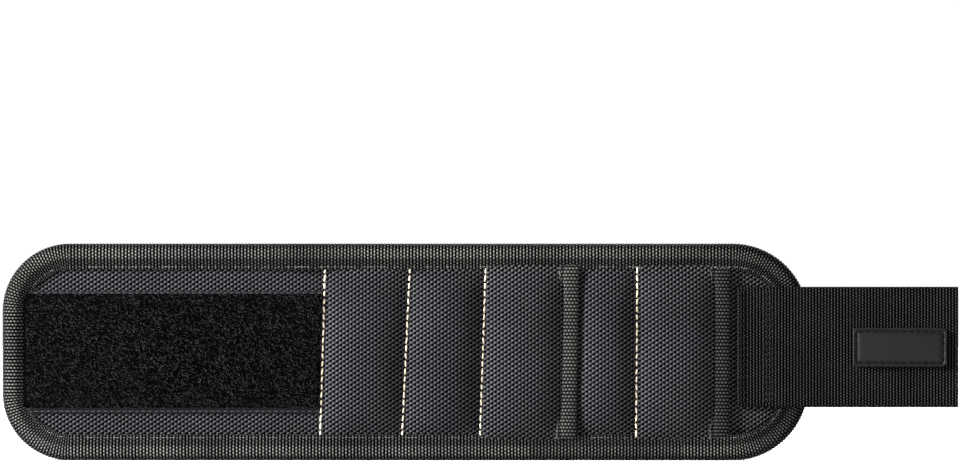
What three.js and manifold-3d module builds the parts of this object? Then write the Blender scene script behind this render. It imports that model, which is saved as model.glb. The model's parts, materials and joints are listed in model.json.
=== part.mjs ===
// Magnetic wristband, opened out flat and standing on one long edge.
// Millimetres. +X runs along the band to the tail, +Z across its width, -Y is the outer face.
// The cloth bends in rigid stages, so each layer is cut into one piece per stage of the band.

import * as THREE from "three";
import { mergeVertices } from "three/addons/utils/BufferGeometryUtils.js";
import Module from "manifold-3d";

const wasm = await Module();
wasm.setup();

// The band's whole length, and the stages along it from the loop end to the strap end,
// which are stretched together to fill that length.
const BAND_LENGTH = 335.5;
const LOOP_TIP_LENGTH = 34;
const LOOP_MIDDLE_LENGTH = 56;
const LOOP_NECK_LENGTH = 43.3;
const PANEL_1_LENGTH = 34.7;
const PANEL_2_LENGTH = 32;
const POCKET_1_LENGTH = 39.6;
const PANEL_3_LENGTH = 24.4;
const POCKET_2_LENGTH = 38.9;
const STRAP_END_LENGTH = 32.6;

// Outline of the band.
const BAND_WIDTH = 90;
const LOOP_CORNER_RADIUS = 25;
const STRAP_CORNER_RADIUS = 31.5;
const CORNER_SEGMENTS = 9;

// Largest bend in degrees where each stage meets the next.
const BENDS = [57, 66.4, 49, 38.1, 38.9, 35, 36.6, 46.3];
const BEND_SPARE = 1;
const HINGE_DEPTH = 1;

// Clearances.
const LAYER_GAP = 0.3;
const STAGE_GAP = 0.3;

// Layers.
const SHELL_THICKNESS = 1.4;
const LINING_THICKNESS = 2.9;
const LINING_EDGE_THICKNESS = 0.9;
const BINDING_THICKNESS = 0.9;
const BINDING_WIDTH = 9.6;
const LOOP_PATCH_THICKNESS = 1.9;
const LOOP_PATCH_WIDTH = 50.8;
const LOOP_PATCH_END_MARGIN = 2.3;
const ELASTIC_THICKNESS = 1.2;
const ELASTIC_WIDTH = 38;
const ELASTIC_END_MARGIN = 15.8;
const HOOK_THICKNESS = 1.8;
const HOOK_WIDTH = 50.8;
const BODY_HOOK_LENGTH = 40.1;

// Padded panels and pocket fronts.
const PANEL_EDGE_RISE = 0.6;
const PANEL_CROWN_RISE = 4.4;
const POCKET_EDGE_THICKNESS = 1.5;
const POCKET_CROWN_THICKNESS = 4.9;
const PANEL_SEAM_MARGIN = 0.6;
const CROWN_POWER = 2.6;
const CROWN_STEPS_ACROSS = 8;
const CROWN_STEPS_ALONG = 12;
const MOUTH_BINDING_WIDTH = 8.6;
const MOUTH_BINDING_THICKNESS = 0.5;
const POCKET_HEM_THICKNESS = 0.8;
const MOUTH_GAP = 0.2;

// Block magnets, two in each padded channel.
const MAGNET_LENGTH = 26;
const MAGNET_WIDTH = 14;
const MAGNET_THICKNESS = 2;
const MAGNET_SPACING = 4;

// Strap, tail, its hooks and its label.
const STRAP_WIDTH = 50;
const STRAP_RISE = 2.2;
const STRAP_THICKNESS = 1.8;
const STRAP_SEW_MARGIN = 2.6;
const STRAP_RAMP_LENGTH = 3.6;
const STRAP_OVERHANG = 0.8;
const TAIL_LENGTH = 60.5;
const TAIL_GAP = 0.7;
const TAIL_RELIEF = 1.8;
const TAIL_BARE_LENGTH = 6.3;
const TAIL_HOOK_LENGTH = 50;
const LABEL_LENGTH = 39;
const LABEL_WIDTH = 16;
const LABEL_THICKNESS = 1.3;
const LABEL_RIM = 1.4;
const LABEL_RECESS = 0.4;
const LABEL_END_MARGIN = 5;

// Stage positions and levels that follow from the sizes above.
const STAGE_LENGTHS = [
  ["loop_tip", LOOP_TIP_LENGTH],
  ["loop_middle", LOOP_MIDDLE_LENGTH],
  ["loop_neck", LOOP_NECK_LENGTH],
  ["panel_1", PANEL_1_LENGTH],
  ["panel_2", PANEL_2_LENGTH],
  ["pocket_1_back", POCKET_1_LENGTH],
  ["panel_3", PANEL_3_LENGTH],
  ["pocket_2_back", POCKET_2_LENGTH],
  ["strap_end", STRAP_END_LENGTH],
];
const STRETCH = BAND_LENGTH / STAGE_LENGTHS.reduce((sum, [, length]) => sum + length, 0);
const STAGES = STAGE_LENGTHS.map(([name, length]) => [name, length * STRETCH]);
const STAGE_NAMES = STAGES.map(([name]) => name);
const STARTS = [];
STAGES.reduce((end, [, length]) => {
  STARTS.push(end);
  return end + length;
}, 0);
const ENDS = STAGES.map(([, length], k) => STARTS[k] + length);
const MID_Z = BAND_WIDTH / 2;
const SHELL_OUTER = -SHELL_THICKNESS;
const LINING_OUTER = LAYER_GAP;
const LINING_INNER = LINING_OUTER + LINING_THICKNESS;
const LINING_EDGE_INNER = LINING_OUTER + LINING_EDGE_THICKNESS;
const SLOT_OUTER = SHELL_OUTER - LAYER_GAP;
const SLOT_INNER = LINING_EDGE_INNER + LAYER_GAP;
const BINDING_OUTER = SLOT_OUTER - BINDING_THICKNESS;
const BINDING_INNER = SLOT_INNER + BINDING_THICKNESS;
const EDGE_INSET = BINDING_THICKNESS + LAYER_GAP;
const FIELD_INSET = BINDING_WIDTH + LAYER_GAP;
const ON_SHELL = SHELL_OUTER - LAYER_GAP;
const ON_LINING = LINING_INNER + LAYER_GAP;
const TAPE_INNER = ON_LINING + Math.max(ELASTIC_THICKNESS, HOOK_THICKNESS);
const FAR = 4 * BAND_WIDTH;

/** Turns a closed geometry into a solid that can be joined and cut. */
function solid(geometry) {
  const bare = geometry.clone();
  bare.deleteAttribute("normal");
  bare.deleteAttribute("uv");
  const merged = mergeVertices(bare, 1e-4);
  return new wasm.Manifold(new wasm.Mesh({
    numProp: 3,
    vertProperties: new Float32Array(merged.attributes.position.array),
    triVerts: new Uint32Array(merged.index.array),
  }));
}

/** Turns a solid back into a flat-shaded geometry. */
function geometryOf(body) {
  const mesh = body.getMesh();
  const geometry = new THREE.BufferGeometry();
  geometry.setAttribute("position", new THREE.BufferAttribute(mesh.vertProperties.slice(), 3));
  geometry.setIndex(new THREE.BufferAttribute(mesh.triVerts.slice(), 1));
  geometry.computeVertexNormals();
  return geometry;
}

/** A box between two corners. */
function box(x0, x1, y0, y1, z0, z1) {
  const geometry = new THREE.BoxGeometry(x1 - x0, y1 - y0, z1 - z0);
  geometry.translate((x0 + x1) / 2, (y0 + y1) / 2, (z0 + z1) / 2);
  return solid(geometry);
}

/** A prism along Z with the given XY outline, anticlockwise. */
function prism(points, z0, z1) {
  const shape = new THREE.Shape(points.map(([x, y]) => new THREE.Vector2(x, y)));
  const geometry = new THREE.ExtrudeGeometry(shape, { depth: z1 - z0, bevelEnabled: false });
  geometry.translate(0, 0, z0);
  return solid(geometry);
}

/** The band's outline, drawn in by an inset, as a plate between two depths. */
function plate(inset, y0, y1) {
  const left = LOOP_CORNER_RADIUS - inset;
  const right = STRAP_CORNER_RADIUS - inset;
  const x0 = inset;
  const x1 = BAND_LENGTH - inset;
  const z0 = inset;
  const z1 = BAND_WIDTH - inset;
  const shape = new THREE.Shape();
  shape.moveTo(x0 + left, z0);
  shape.absarc(x1 - right, z0 + right, right, -Math.PI / 2, 0, false);
  shape.absarc(x1 - right, z1 - right, right, 0, Math.PI / 2, false);
  shape.absarc(x0 + left, z1 - left, left, Math.PI / 2, Math.PI, false);
  shape.absarc(x0 + left, z0 + left, left, Math.PI, 1.5 * Math.PI, false);
  const geometry = new THREE.ExtrudeGeometry(shape, {
    depth: y1 - y0,
    bevelEnabled: false,
    curveSegments: CORNER_SEGMENTS,
  });
  geometry.rotateX(Math.PI / 2);
  geometry.translate(0, y1, 0);
  return solid(geometry);
}

/** The room of one stage: a narrow gap at its ends, widening inwards so that it can bend. */
function stageRoom(k) {
  const half = (bend) => Math.tan(THREE.MathUtils.degToRad(bend / 2 + BEND_SPARE));
  const left = k > 0 ? STARTS[k] + STAGE_GAP / 2 : -FAR;
  const right = k < STAGES.length - 1 ? ENDS[k] - STAGE_GAP / 2 : BAND_LENGTH + FAR;
  const inner = HINGE_DEPTH + 2 * TAPE_INNER;
  const leftCut = k > 0 ? (inner - HINGE_DEPTH) * half(BENDS[k - 1]) : 0;
  const rightCut = k < STAGES.length - 1 ? (inner - HINGE_DEPTH) * half(BENDS[k]) : 0;
  return prism([
    [left, -FAR],
    [right, -FAR],
    [right, HINGE_DEPTH],
    [right - rightCut, inner],
    [left + leftCut, inner],
    [left, HINGE_DEPTH],
  ], -FAR, FAR);
}

/** A soft panel: flat at the back, crowned at the front and drawn down to its edges. */
function crowned(x0, x1, z0, z1, back, edge, crown) {
  const nx = CROWN_STEPS_ACROSS;
  const nz = CROWN_STEPS_ALONG;
  const spread = (i, n) => Math.sin(Math.PI * (i / n - 0.5));
  const profile = (u) => Math.sqrt(1 - Math.min(1, Math.abs(u)) ** CROWN_POWER);
  const positions = [];
  const index = [];
  const front = (i, j) => 2 * (j * (nx + 1) + i);
  for (let j = 0; j <= nz; j += 1) {
    for (let i = 0; i <= nx; i += 1) {
      const u = spread(i, nx);
      const v = spread(j, nz);
      const x = x0 + (x1 - x0) * (u + 1) / 2;
      const z = z0 + (z1 - z0) * (v + 1) / 2;
      positions.push(x, edge + (crown - edge) * profile(u) * profile(v), z);
      positions.push(x, back, z);
    }
  }
  const quad = (a, b, c, d) => index.push(a, b, c, a, c, d);
  for (let j = 0; j < nz; j += 1) {
    for (let i = 0; i < nx; i += 1) {
      const [a, b, c, d] = [front(i, j), front(i + 1, j), front(i + 1, j + 1), front(i, j + 1)];
      quad(a, b, c, d);
      quad(a + 1, d + 1, c + 1, b + 1);
    }
  }
  for (let i = 0; i < nx; i += 1) {
    quad(front(i, 0), front(i, 0) + 1, front(i + 1, 0) + 1, front(i + 1, 0));
    quad(front(i + 1, nz), front(i + 1, nz) + 1, front(i, nz) + 1, front(i, nz));
  }
  for (let j = 0; j < nz; j += 1) {
    quad(front(0, j + 1), front(0, j + 1) + 1, front(0, j) + 1, front(0, j));
    quad(front(nx, j), front(nx, j) + 1, front(nx, j + 1) + 1, front(nx, j + 1));
  }
  const geometry = new THREE.BufferGeometry();
  geometry.setAttribute("position", new THREE.Float32BufferAttribute(positions, 3));
  geometry.setIndex(index);
  return solid(geometry);
}

const model = new THREE.Group();
const FINISHES = {
  mesh: { color: 0x1b1b1d, roughness: 0.85, metalness: 0 },
  cloth: { color: 0x1d1d20, roughness: 0.7, metalness: 0 },
  tape: { color: 0x161617, roughness: 0.75, metalness: 0 },
  loop: { color: 0x131314, roughness: 0.95, metalness: 0 },
  hook: { color: 0x18181a, roughness: 0.6, metalness: 0 },
  elastic: { color: 0x1a1a1b, roughness: 0.8, metalness: 0 },
  rubber: { color: 0x1e1e20, roughness: 0.5, metalness: 0 },
  magnet: { color: 0xb8bcc2, roughness: 0.3, metalness: 1 },
};

/** Adds one named piece. */
function addPiece(name, body, finish) {
  const mesh = new THREE.Mesh(geometryOf(body), new THREE.MeshStandardMaterial(FINISHES[finish]));
  mesh.name = name;
  model.add(mesh);
}

const rooms = STAGES.map((_, k) => stageRoom(k));

// Lining: a mesh pad whose thin edge goes into the binding.
const lining = plate(EDGE_INSET, LINING_OUTER, LINING_EDGE_INNER)
  .add(plate(FIELD_INSET, LINING_OUTER, LINING_INNER));
STAGE_NAMES.forEach((name, k) => addPiece(`lining_${name}`, lining.intersect(rooms[k]), "mesh"));

// Edge binding: a tape folded over the edge of the shell and the lining.
const binding = plate(0, BINDING_OUTER, BINDING_INNER)
  .subtract(plate(BINDING_WIDTH, -FAR, FAR))
  .subtract(plate(BINDING_THICKNESS, SLOT_OUTER, SLOT_INNER));
const upperHalf = box(-FAR, BAND_LENGTH + FAR, -FAR, FAR, MID_Z, BAND_WIDTH + FAR);
const lowerHalf = box(-FAR, BAND_LENGTH + FAR, -FAR, FAR, -FAR, MID_Z);
STAGE_NAMES.forEach((name, k) => {
  const run = binding.intersect(rooms[k]);
  if (k === 0 || k === STAGES.length - 1) {
    addPiece(`binding_${name}`, run, "tape");
    return;
  }
  addPiece(`binding_${name}_top`, run.intersect(upperHalf), "tape");
  addPiece(`binding_${name}_bottom`, run.intersect(lowerHalf), "tape");
});

/** The recesses and the block magnets of one padded channel. */
function addMagnets(channel, x0, x1, back) {
  const mid = (x0 + x1) / 2;
  let recesses = null;
  [["lower", -1], ["upper", 1]].forEach(([place, side]) => {
    const z = MID_Z + side * (MAGNET_LENGTH + MAGNET_SPACING) / 2;
    const block = (spare, y0) => box(
      mid - MAGNET_WIDTH / 2 - spare,
      mid + MAGNET_WIDTH / 2 + spare,
      y0,
      back + spare,
      z - MAGNET_LENGTH / 2 - spare,
      z + MAGNET_LENGTH / 2 + spare,
    );
    const recess = block(LAYER_GAP, back - MAGNET_THICKNESS - LAYER_GAP);
    recesses = recesses ? recesses.add(recess) : recess;
    addPiece(`magnet_${channel}_${place}`, block(0, back - MAGNET_THICKNESS), "magnet");
  });
  return recesses;
}

// Shell, with its padded panels: each swells over its magnets between two stitch lines.
const shell = plate(EDGE_INSET, SHELL_OUTER, 0);
const PADDED = { panel_1: 1, panel_2: 2, panel_3: 4 };
STAGE_NAMES.forEach((name, k) => {
  const cloth = shell.intersect(rooms[k]);
  if (!(name in PADDED)) {
    addPiece(`shell_${name}`, cloth, "cloth");
    return;
  }
  const x0 = STARTS[k] + PANEL_SEAM_MARGIN;
  const x1 = ENDS[k] - PANEL_SEAM_MARGIN;
  const swell = crowned(
    x0,
    x1,
    FIELD_INSET,
    BAND_WIDTH - FIELD_INSET,
    SHELL_OUTER / 2,
    SHELL_OUTER - PANEL_EDGE_RISE,
    SHELL_OUTER - PANEL_CROWN_RISE,
  );
  const recesses = addMagnets(PADDED[name], x0, x1, 0);
  addPiece(`padded_${name}`, cloth.add(swell).subtract(recesses), "cloth");
});

// Pockets: a padded front, sewn along its left side, with a bound mouth at its right side.
const POCKETS = { pocket_1: ["pocket_1_back", 3], pocket_2: ["pocket_2_back", 5] };
Object.entries(POCKETS).forEach(([pocket, [stage, channel]]) => {
  const k = STAGE_NAMES.indexOf(stage);
  const x0 = STARTS[k] + PANEL_SEAM_MARGIN;
  const mouth = ENDS[k] - MOUTH_GAP;
  const tapeStart = mouth - MOUTH_BINDING_WIDTH;
  const x1 = tapeStart - LAYER_GAP;
  const z0 = FIELD_INSET;
  const z1 = BAND_WIDTH - FIELD_INSET;
  const back = ON_SHELL;
  const edge = back - POCKET_EDGE_THICKNESS;
  const hemBack = back - MOUTH_BINDING_THICKNESS - MOUTH_GAP;
  const hemFront = hemBack - POCKET_HEM_THICKNESS;
  const tapeFront = hemFront - MOUTH_GAP - MOUTH_BINDING_THICKNESS;
  const fold = mouth - MOUTH_BINDING_THICKNESS;
  const front = crowned(x0, x1, z0, z1, back, edge, back - POCKET_CROWN_THICKNESS);
  const hem = box((x0 + x1) / 2, fold - MOUTH_GAP, hemFront, hemBack, z0, z1);
  const recesses = addMagnets(channel, x0, x1, back);
  addPiece(`${pocket}_front`, front.add(hem).subtract(recesses), "cloth");
  const slot = box(
    tapeStart - FAR,
    fold,
    hemFront - MOUTH_GAP,
    hemBack + MOUTH_GAP,
    z0 - FAR,
    z1 + FAR,
  );
  const tape = box(tapeStart, mouth, tapeFront, back, z0, z1).subtract(slot);
  addPiece(`${pocket}_binding`, tape, "tape");
});

// Loop patch on the outer face, and elastic across the inner face, at the loop end.
const field = plate(FIELD_INSET, -FAR, FAR);
const loopEnd = ENDS[STAGE_NAMES.indexOf("loop_neck")];
const loopPatch = field.intersect(box(
  FIELD_INSET,
  loopEnd - LOOP_PATCH_END_MARGIN,
  ON_SHELL - LOOP_PATCH_THICKNESS,
  ON_SHELL,
  MID_Z - LOOP_PATCH_WIDTH / 2,
  MID_Z + LOOP_PATCH_WIDTH / 2,
));
const elastic = box(
  FIELD_INSET,
  loopEnd - ELASTIC_END_MARGIN,
  ON_LINING,
  ON_LINING + ELASTIC_THICKNESS,
  MID_Z - ELASTIC_WIDTH / 2,
  MID_Z + ELASTIC_WIDTH / 2,
);
["loop_tip", "loop_middle", "loop_neck"].forEach((name, k) => {
  addPiece(`loop_patch_${name}`, loopPatch.intersect(rooms[k]), "loop");
  addPiece(`elastic_${name}`, elastic.intersect(rooms[k]), "elastic");
});

// Hook patch on the inner face at the strap end.
const bodyHook = field.intersect(box(
  BAND_LENGTH - FIELD_INSET - BODY_HOOK_LENGTH,
  BAND_LENGTH - FIELD_INSET,
  ON_LINING,
  ON_LINING + HOOK_THICKNESS,
  MID_Z - HOOK_WIDTH / 2,
  MID_Z + HOOK_WIDTH / 2,
));
["pocket_2_back", "strap_end"].forEach((name) => {
  addPiece(`hook_${name}`, bodyHook.intersect(rooms[STAGE_NAMES.indexOf(name)]), "hook");
});

// Strap: sewn on the shell, stepped over the binding, then a tail that folds at the band's end.
const strapOnEdge = BINDING_OUTER - LAYER_GAP;
const strapStart = STARTS[STAGE_NAMES.indexOf("strap_end")] + STRAP_SEW_MARGIN;
const cornerInner = STRAP_CORNER_RADIUS - BINDING_WIDTH;
const strapZ = [MID_Z + STRAP_RISE - STRAP_WIDTH / 2, MID_Z + STRAP_RISE + STRAP_WIDTH / 2];
const strapEdge = Math.min(strapZ[0], BAND_WIDTH - strapZ[1]);
const cornerReach = Math.max(0, STRAP_CORNER_RADIUS - strapEdge);
const cornerCut = cornerInner - Math.sqrt(Math.max(0, cornerInner ** 2 - cornerReach ** 2));
const rampEnd = BAND_LENGTH - BINDING_WIDTH - cornerCut - LAYER_GAP;
const rampStart = rampEnd - STRAP_RAMP_LENGTH;
const strapEnd = BAND_LENGTH + STRAP_OVERHANG;
const strapFront = strapOnEdge - STRAP_THICKNESS;
const strapBase = prism([
  [strapStart, ON_SHELL - STRAP_THICKNESS],
  [rampStart, ON_SHELL - STRAP_THICKNESS],
  [rampEnd, strapFront],
  [strapEnd, strapFront],
  [strapEnd - TAIL_GAP, strapOnEdge],
  [rampEnd, strapOnEdge],
  [rampStart, ON_SHELL],
  [strapStart, ON_SHELL],
], ...strapZ);
addPiece("strap_base", strapBase, "tape");
const tailStart = strapEnd + TAIL_GAP;
const tailEnd = tailStart + TAIL_LENGTH;
const strapTail = prism([
  [tailStart, strapFront],
  [tailEnd, strapFront],
  [tailEnd, strapOnEdge],
  [tailStart + TAIL_RELIEF, strapOnEdge],
], ...strapZ);
addPiece("strap_tail", strapTail, "tape");
const tailHookOuter = strapOnEdge + LAYER_GAP;
const tailHook = box(
  tailStart + TAIL_BARE_LENGTH,
  tailStart + TAIL_BARE_LENGTH + TAIL_HOOK_LENGTH,
  tailHookOuter,
  tailHookOuter + HOOK_THICKNESS,
  ...strapZ,
);
addPiece("tail_hook", tailHook, "hook");

// Label: a rubber patch with a raised rim and a bare face.
const labelX = [tailEnd - LABEL_END_MARGIN - LABEL_LENGTH, tailEnd - LABEL_END_MARGIN];
const labelMid = MID_Z + STRAP_RISE;
const labelZ = [labelMid - LABEL_WIDTH / 2, labelMid + LABEL_WIDTH / 2];
const labelBack = strapFront - LAYER_GAP;
const labelFront = labelBack - LABEL_THICKNESS;
const label = box(...labelX, labelFront, labelBack, ...labelZ).subtract(box(
  labelX[0] + LABEL_RIM,
  labelX[1] - LABEL_RIM,
  labelFront - LABEL_RECESS,
  labelFront + LABEL_RECESS,
  labelZ[0] + LABEL_RIM,
  labelZ[1] - LABEL_RIM,
));
addPiece("label", label, "rubber");

// The origin is where the wrist meets the elastic, in the middle of its longest run.
const middle = STAGE_NAMES.indexOf("loop_middle");
model.position.set(
  -(STARTS[middle] + ENDS[middle]) / 2,
  -(ON_LINING + ELASTIC_THICKNESS),
  -MID_Z,
);

export default model;
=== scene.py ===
"""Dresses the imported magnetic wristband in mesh, cloth, tape, webbing, patches, rubber and thread.

Pieces are drawn in flat millimetres, as the band lies opened out: x runs along it from the loop end,
z across its width from the lower edge, and y through its thickness, with the outer face towards -Y.
"""

import json
import logging
import math
import random
from abc import ABC, abstractmethod
from collections.abc import Callable, Sequence
from dataclasses import dataclass, field, replace
from enum import Enum

import bmesh
import bpy
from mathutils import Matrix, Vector, noise

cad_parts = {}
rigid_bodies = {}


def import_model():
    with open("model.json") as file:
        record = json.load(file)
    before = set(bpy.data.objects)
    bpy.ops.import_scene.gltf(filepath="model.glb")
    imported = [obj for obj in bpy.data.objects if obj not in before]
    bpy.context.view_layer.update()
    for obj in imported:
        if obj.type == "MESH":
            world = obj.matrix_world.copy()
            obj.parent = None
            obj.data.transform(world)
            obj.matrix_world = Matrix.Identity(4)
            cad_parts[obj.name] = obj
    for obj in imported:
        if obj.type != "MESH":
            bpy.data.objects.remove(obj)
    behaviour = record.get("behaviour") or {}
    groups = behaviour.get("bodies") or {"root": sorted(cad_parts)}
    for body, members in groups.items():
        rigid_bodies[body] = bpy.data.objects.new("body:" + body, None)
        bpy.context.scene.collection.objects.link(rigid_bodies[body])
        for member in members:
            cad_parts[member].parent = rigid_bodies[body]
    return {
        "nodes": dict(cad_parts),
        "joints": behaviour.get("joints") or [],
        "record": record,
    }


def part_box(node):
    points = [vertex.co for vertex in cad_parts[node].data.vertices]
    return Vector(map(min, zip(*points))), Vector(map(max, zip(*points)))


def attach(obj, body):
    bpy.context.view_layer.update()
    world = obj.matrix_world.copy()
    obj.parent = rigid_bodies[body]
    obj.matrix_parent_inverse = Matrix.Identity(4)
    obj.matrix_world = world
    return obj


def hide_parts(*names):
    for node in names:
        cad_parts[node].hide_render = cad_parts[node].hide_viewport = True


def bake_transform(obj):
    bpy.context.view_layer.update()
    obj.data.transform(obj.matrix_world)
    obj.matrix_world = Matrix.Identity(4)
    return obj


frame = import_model()

LOG = logging.getLogger("wristband")
MM = 0.001
NEAR = 1e-9
NUDGE = 0.01
POCKET_REACH = 8.8
EDGE_SHARES = (0.0, 0.08, 0.3, 0.6)
QUARTER = math.pi / 2
MIX_FIRST, MIX_SECOND, MIX_RESULT = 6, 7, 2
FINE_DETAIL = 3.0
WEAR_LOW, WEAR_HIGH = 0.3, 0.7
ROUGH_SPREAD = 0.06

Point = tuple[float, float, float]
Knot = tuple[float, float, float, float, float]
Colour = tuple[float, float, float]
Height = Callable[[float, float], float]
Socket = bpy.types.NodeSocket
Piece = bpy.types.Object


class Slot(Enum):
    """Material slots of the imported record."""

    MESH = "mesh"
    CLOTH = "cloth"
    TAPE = "tape"
    WEBBING = "webbing"
    LOOP = "loop"
    HOOK = "hook"
    ELASTIC = "elastic"
    RUBBER = "rubber"
    MAGNET = "magnet"


class Side(Enum):
    """The way a face of the band looks, as the sign of its y direction."""

    OUTER = -1
    INNER = 1


class Rows(Enum):
    """The way a hook tape's rows run."""

    ALONG = "along"
    UP = "up"


def smooth(value: float) -> float:
    """Eases from 0 to 1, and stays level on either side."""
    share = min(max(value, 0.0), 1.0)
    return share * share * (3 - 2 * share)


def rounded(value: float) -> float:
    """Rises like a quarter circle from 0 to 1, over a share of an edge's rounding."""
    share = min(max(value, 0.0), 1.0)
    return math.sqrt(1 - (1 - share) ** 2)


def lumps(x: float, z: float, scale: float, layer: float) -> float:
    """Smooth noise from -1 to 1 over the flat band, at a scale and in one of its layers."""
    return noise.noise(Vector((x * scale, z * scale, layer)))


def steps(low: float, high: float, step: float) -> list[float]:
    """Evenly spaced values from low to high with both ends, no further apart than a step."""
    count = max(1, math.ceil((high - low) / step))
    return [low + (high - low) * k / count for k in range(count + 1)]


def edged_steps(low: float, high: float, step: float, edge: float) -> list[float]:
    """Evenly spaced values with extra ones near both ends, where an edge is rounded.

    Args:
        low: First value.
        high: Last value.
        step: Largest distance between neighbours.
        edge: Width of the rounding at each end.

    Returns:
        The values in order.
    """
    close = [edge * share for share in EDGE_SHARES]
    middle = steps(low + edge, high - edge, step)
    return [low + d for d in close] + middle + [high - d for d in reversed(close)]


def grey(level: float, blue: float | None = None) -> Colour:
    """A grey, with its own level of blue where that differs."""
    return (level, level, level if blue is None else blue)


def stage_nodes(*starts: str) -> list[str]:
    """The CAD nodes whose names start in one of some ways."""
    return sorted(n for n in frame["nodes"] if n.startswith(starts))


@dataclass(frozen=True)
class Box:
    """Lowest and highest flat coordinates of some CAD nodes, in millimetres."""

    left: float
    right: float
    outer: float
    inner: float
    bottom: float
    top: float

    @property
    def wide(self) -> float:
        """Its length along the band."""
        return self.right - self.left

    @property
    def tall(self) -> float:
        """Its height across the band."""
        return self.top - self.bottom

    def from_side(self, z: float) -> float:
        """Distance of a height from the nearer of its lower and upper sides."""
        return min(z - self.bottom, self.top - z)


@dataclass(frozen=True)
class Span:
    """A stretch of the band that bends across one hinge, from the middle of one stage to the next."""

    first: str
    second: str
    start: float
    end: float
    low: float
    high: float


@dataclass(frozen=True)
class Layout:
    """Where the band and its stages lie, read from the frame."""

    origin: Point
    length: float
    width: float
    lines: tuple[float, ...]
    loop_radius: float = 28.0
    strap_radius: float = 31.5
    bend_reach: float = 10.0
    stages: tuple[str, ...] = (
        "loop_tip", "loop_middle", "loop_neck", "panel_1", "panel_2",
        "pocket_1_back", "panel_3", "pocket_2_back", "strap_end",
    )

    @classmethod
    def from_frame(cls) -> "Layout":
        """Reads the band's corner, size and hinge lines.

        Returns:
            The layout.
        """
        tip_low, tip_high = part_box("binding_loop_tip")
        _, end_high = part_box("binding_strap_end")
        _, shell_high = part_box("shell_loop_tip")
        pairs = {frozenset((j["parent"], j["child"])): j["pos_m"][0] for j in frame["joints"]}
        lines = tuple(
            (pairs[frozenset(pair)] - tip_low.x) / MM for pair in zip(cls.stages, cls.stages[1:])
        )
        return cls(
            origin=(tip_low.x, shell_high.y, tip_low.z),
            length=(end_high.x - tip_low.x) / MM,
            width=(tip_high.z - tip_low.z) / MM,
            lines=lines,
        )

    def place(self, point: Sequence[float]) -> Point:
        """Turns flat millimetres into metres of the row frame."""
        x, y, z = (start + value * MM for start, value in zip(self.origin, point))
        return (x, y, z)

    def box(self, *nodes: str) -> Box:
        """The flat box round some CAD nodes.

        Args:
            nodes: Names of the nodes.

        Returns:
            Their common box.
        """
        corners = [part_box(node) for node in nodes]
        flat = []
        for k, start in enumerate(self.origin):
            flat.append((min(c[0][k] for c in corners) - start) / MM)
            flat.append((max(c[1][k] for c in corners) - start) / MM)
        return Box(*flat)

    def spans(self) -> list[Span]:
        """The stretches that a continuous layer is cut into, one for each hinge.

        Returns:
            The spans from the loop end to the strap end.
        """
        ends = (0.0, *self.lines, self.length)
        middles = [(a + b) / 2 for a, b in zip(ends, ends[1:])]
        cuts = [-math.inf, *middles[1:-1], math.inf]
        return [
            Span(
                self.stages[k], self.stages[k + 1], max(middles[k], line - self.bend_reach),
                min(middles[k + 1], line + self.bend_reach), cuts[k], cuts[k + 1],
            )
            for k, line in enumerate(self.lines)
        ]

    def inset(self, x: float, z: float) -> float:
        """How far a point lies inside the band's outline.

        Args:
            x: Flat x.
            z: Flat z.

        Returns:
            The distance to the outline, below 0 outside.
        """
        radius = self.loop_radius if x < self.length / 2 else self.strap_radius
        across = min(x, self.length - x)
        up = min(z, self.width - z)
        if across < radius and up < radius:
            return radius - math.hypot(radius - across, radius - up)
        return min(across, up)

    def corners(self) -> list[Knot]:
        """The outline's corners, anticlockwise from the lower right.

        Returns:
            For each the straight run before it, its centre's x and z, its radius and its first angle.
        """
        loop, strap, length, width = self.loop_radius, self.strap_radius, self.length, self.width
        side = length - loop - strap
        return [
            (side, length - strap, strap, strap, -QUARTER),
            (width - 2 * strap, length - strap, width - strap, strap, 0.0),
            (side, loop, width - loop, loop, QUARTER),
            (width - 2 * loop, loop, loop, loop, 2 * QUARTER),
        ]

    def edge_length(self) -> float:
        """Length of the whole outline."""
        return sum(run + QUARTER * radius for run, _, _, radius, _ in self.corners())

    def edge_at(self, s: float) -> tuple[float, float, float, float]:
        """A place on the outline.

        Args:
            s: Distance along it, anticlockwise from the lower left.

        Returns:
            The point's x and z, and the inward direction there.
        """
        for run, x, z, radius, turn in self.corners():
            whole = run + QUARTER * radius
            if s <= whole + NEAR:
                break
            s -= whole
        back = max(run - s, 0.0)
        angle = turn + max(s - run, 0.0) / radius
        across, up = math.cos(angle), math.sin(angle)
        return (
            x + radius * across + back * math.sin(turn),
            z + radius * up - back * math.cos(turn),
            -across, -up,
        )


LAYOUT = Layout.from_frame()


def bend(piece: Piece, first: str, second: str, start: float, end: float) -> None:
    """Bakes a piece's place into its mesh, without blending it between bodies."""
    LAYOUT.place((start, 0, 0))
    LAYOUT.place((end, 0, 0))
    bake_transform(piece)


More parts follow.
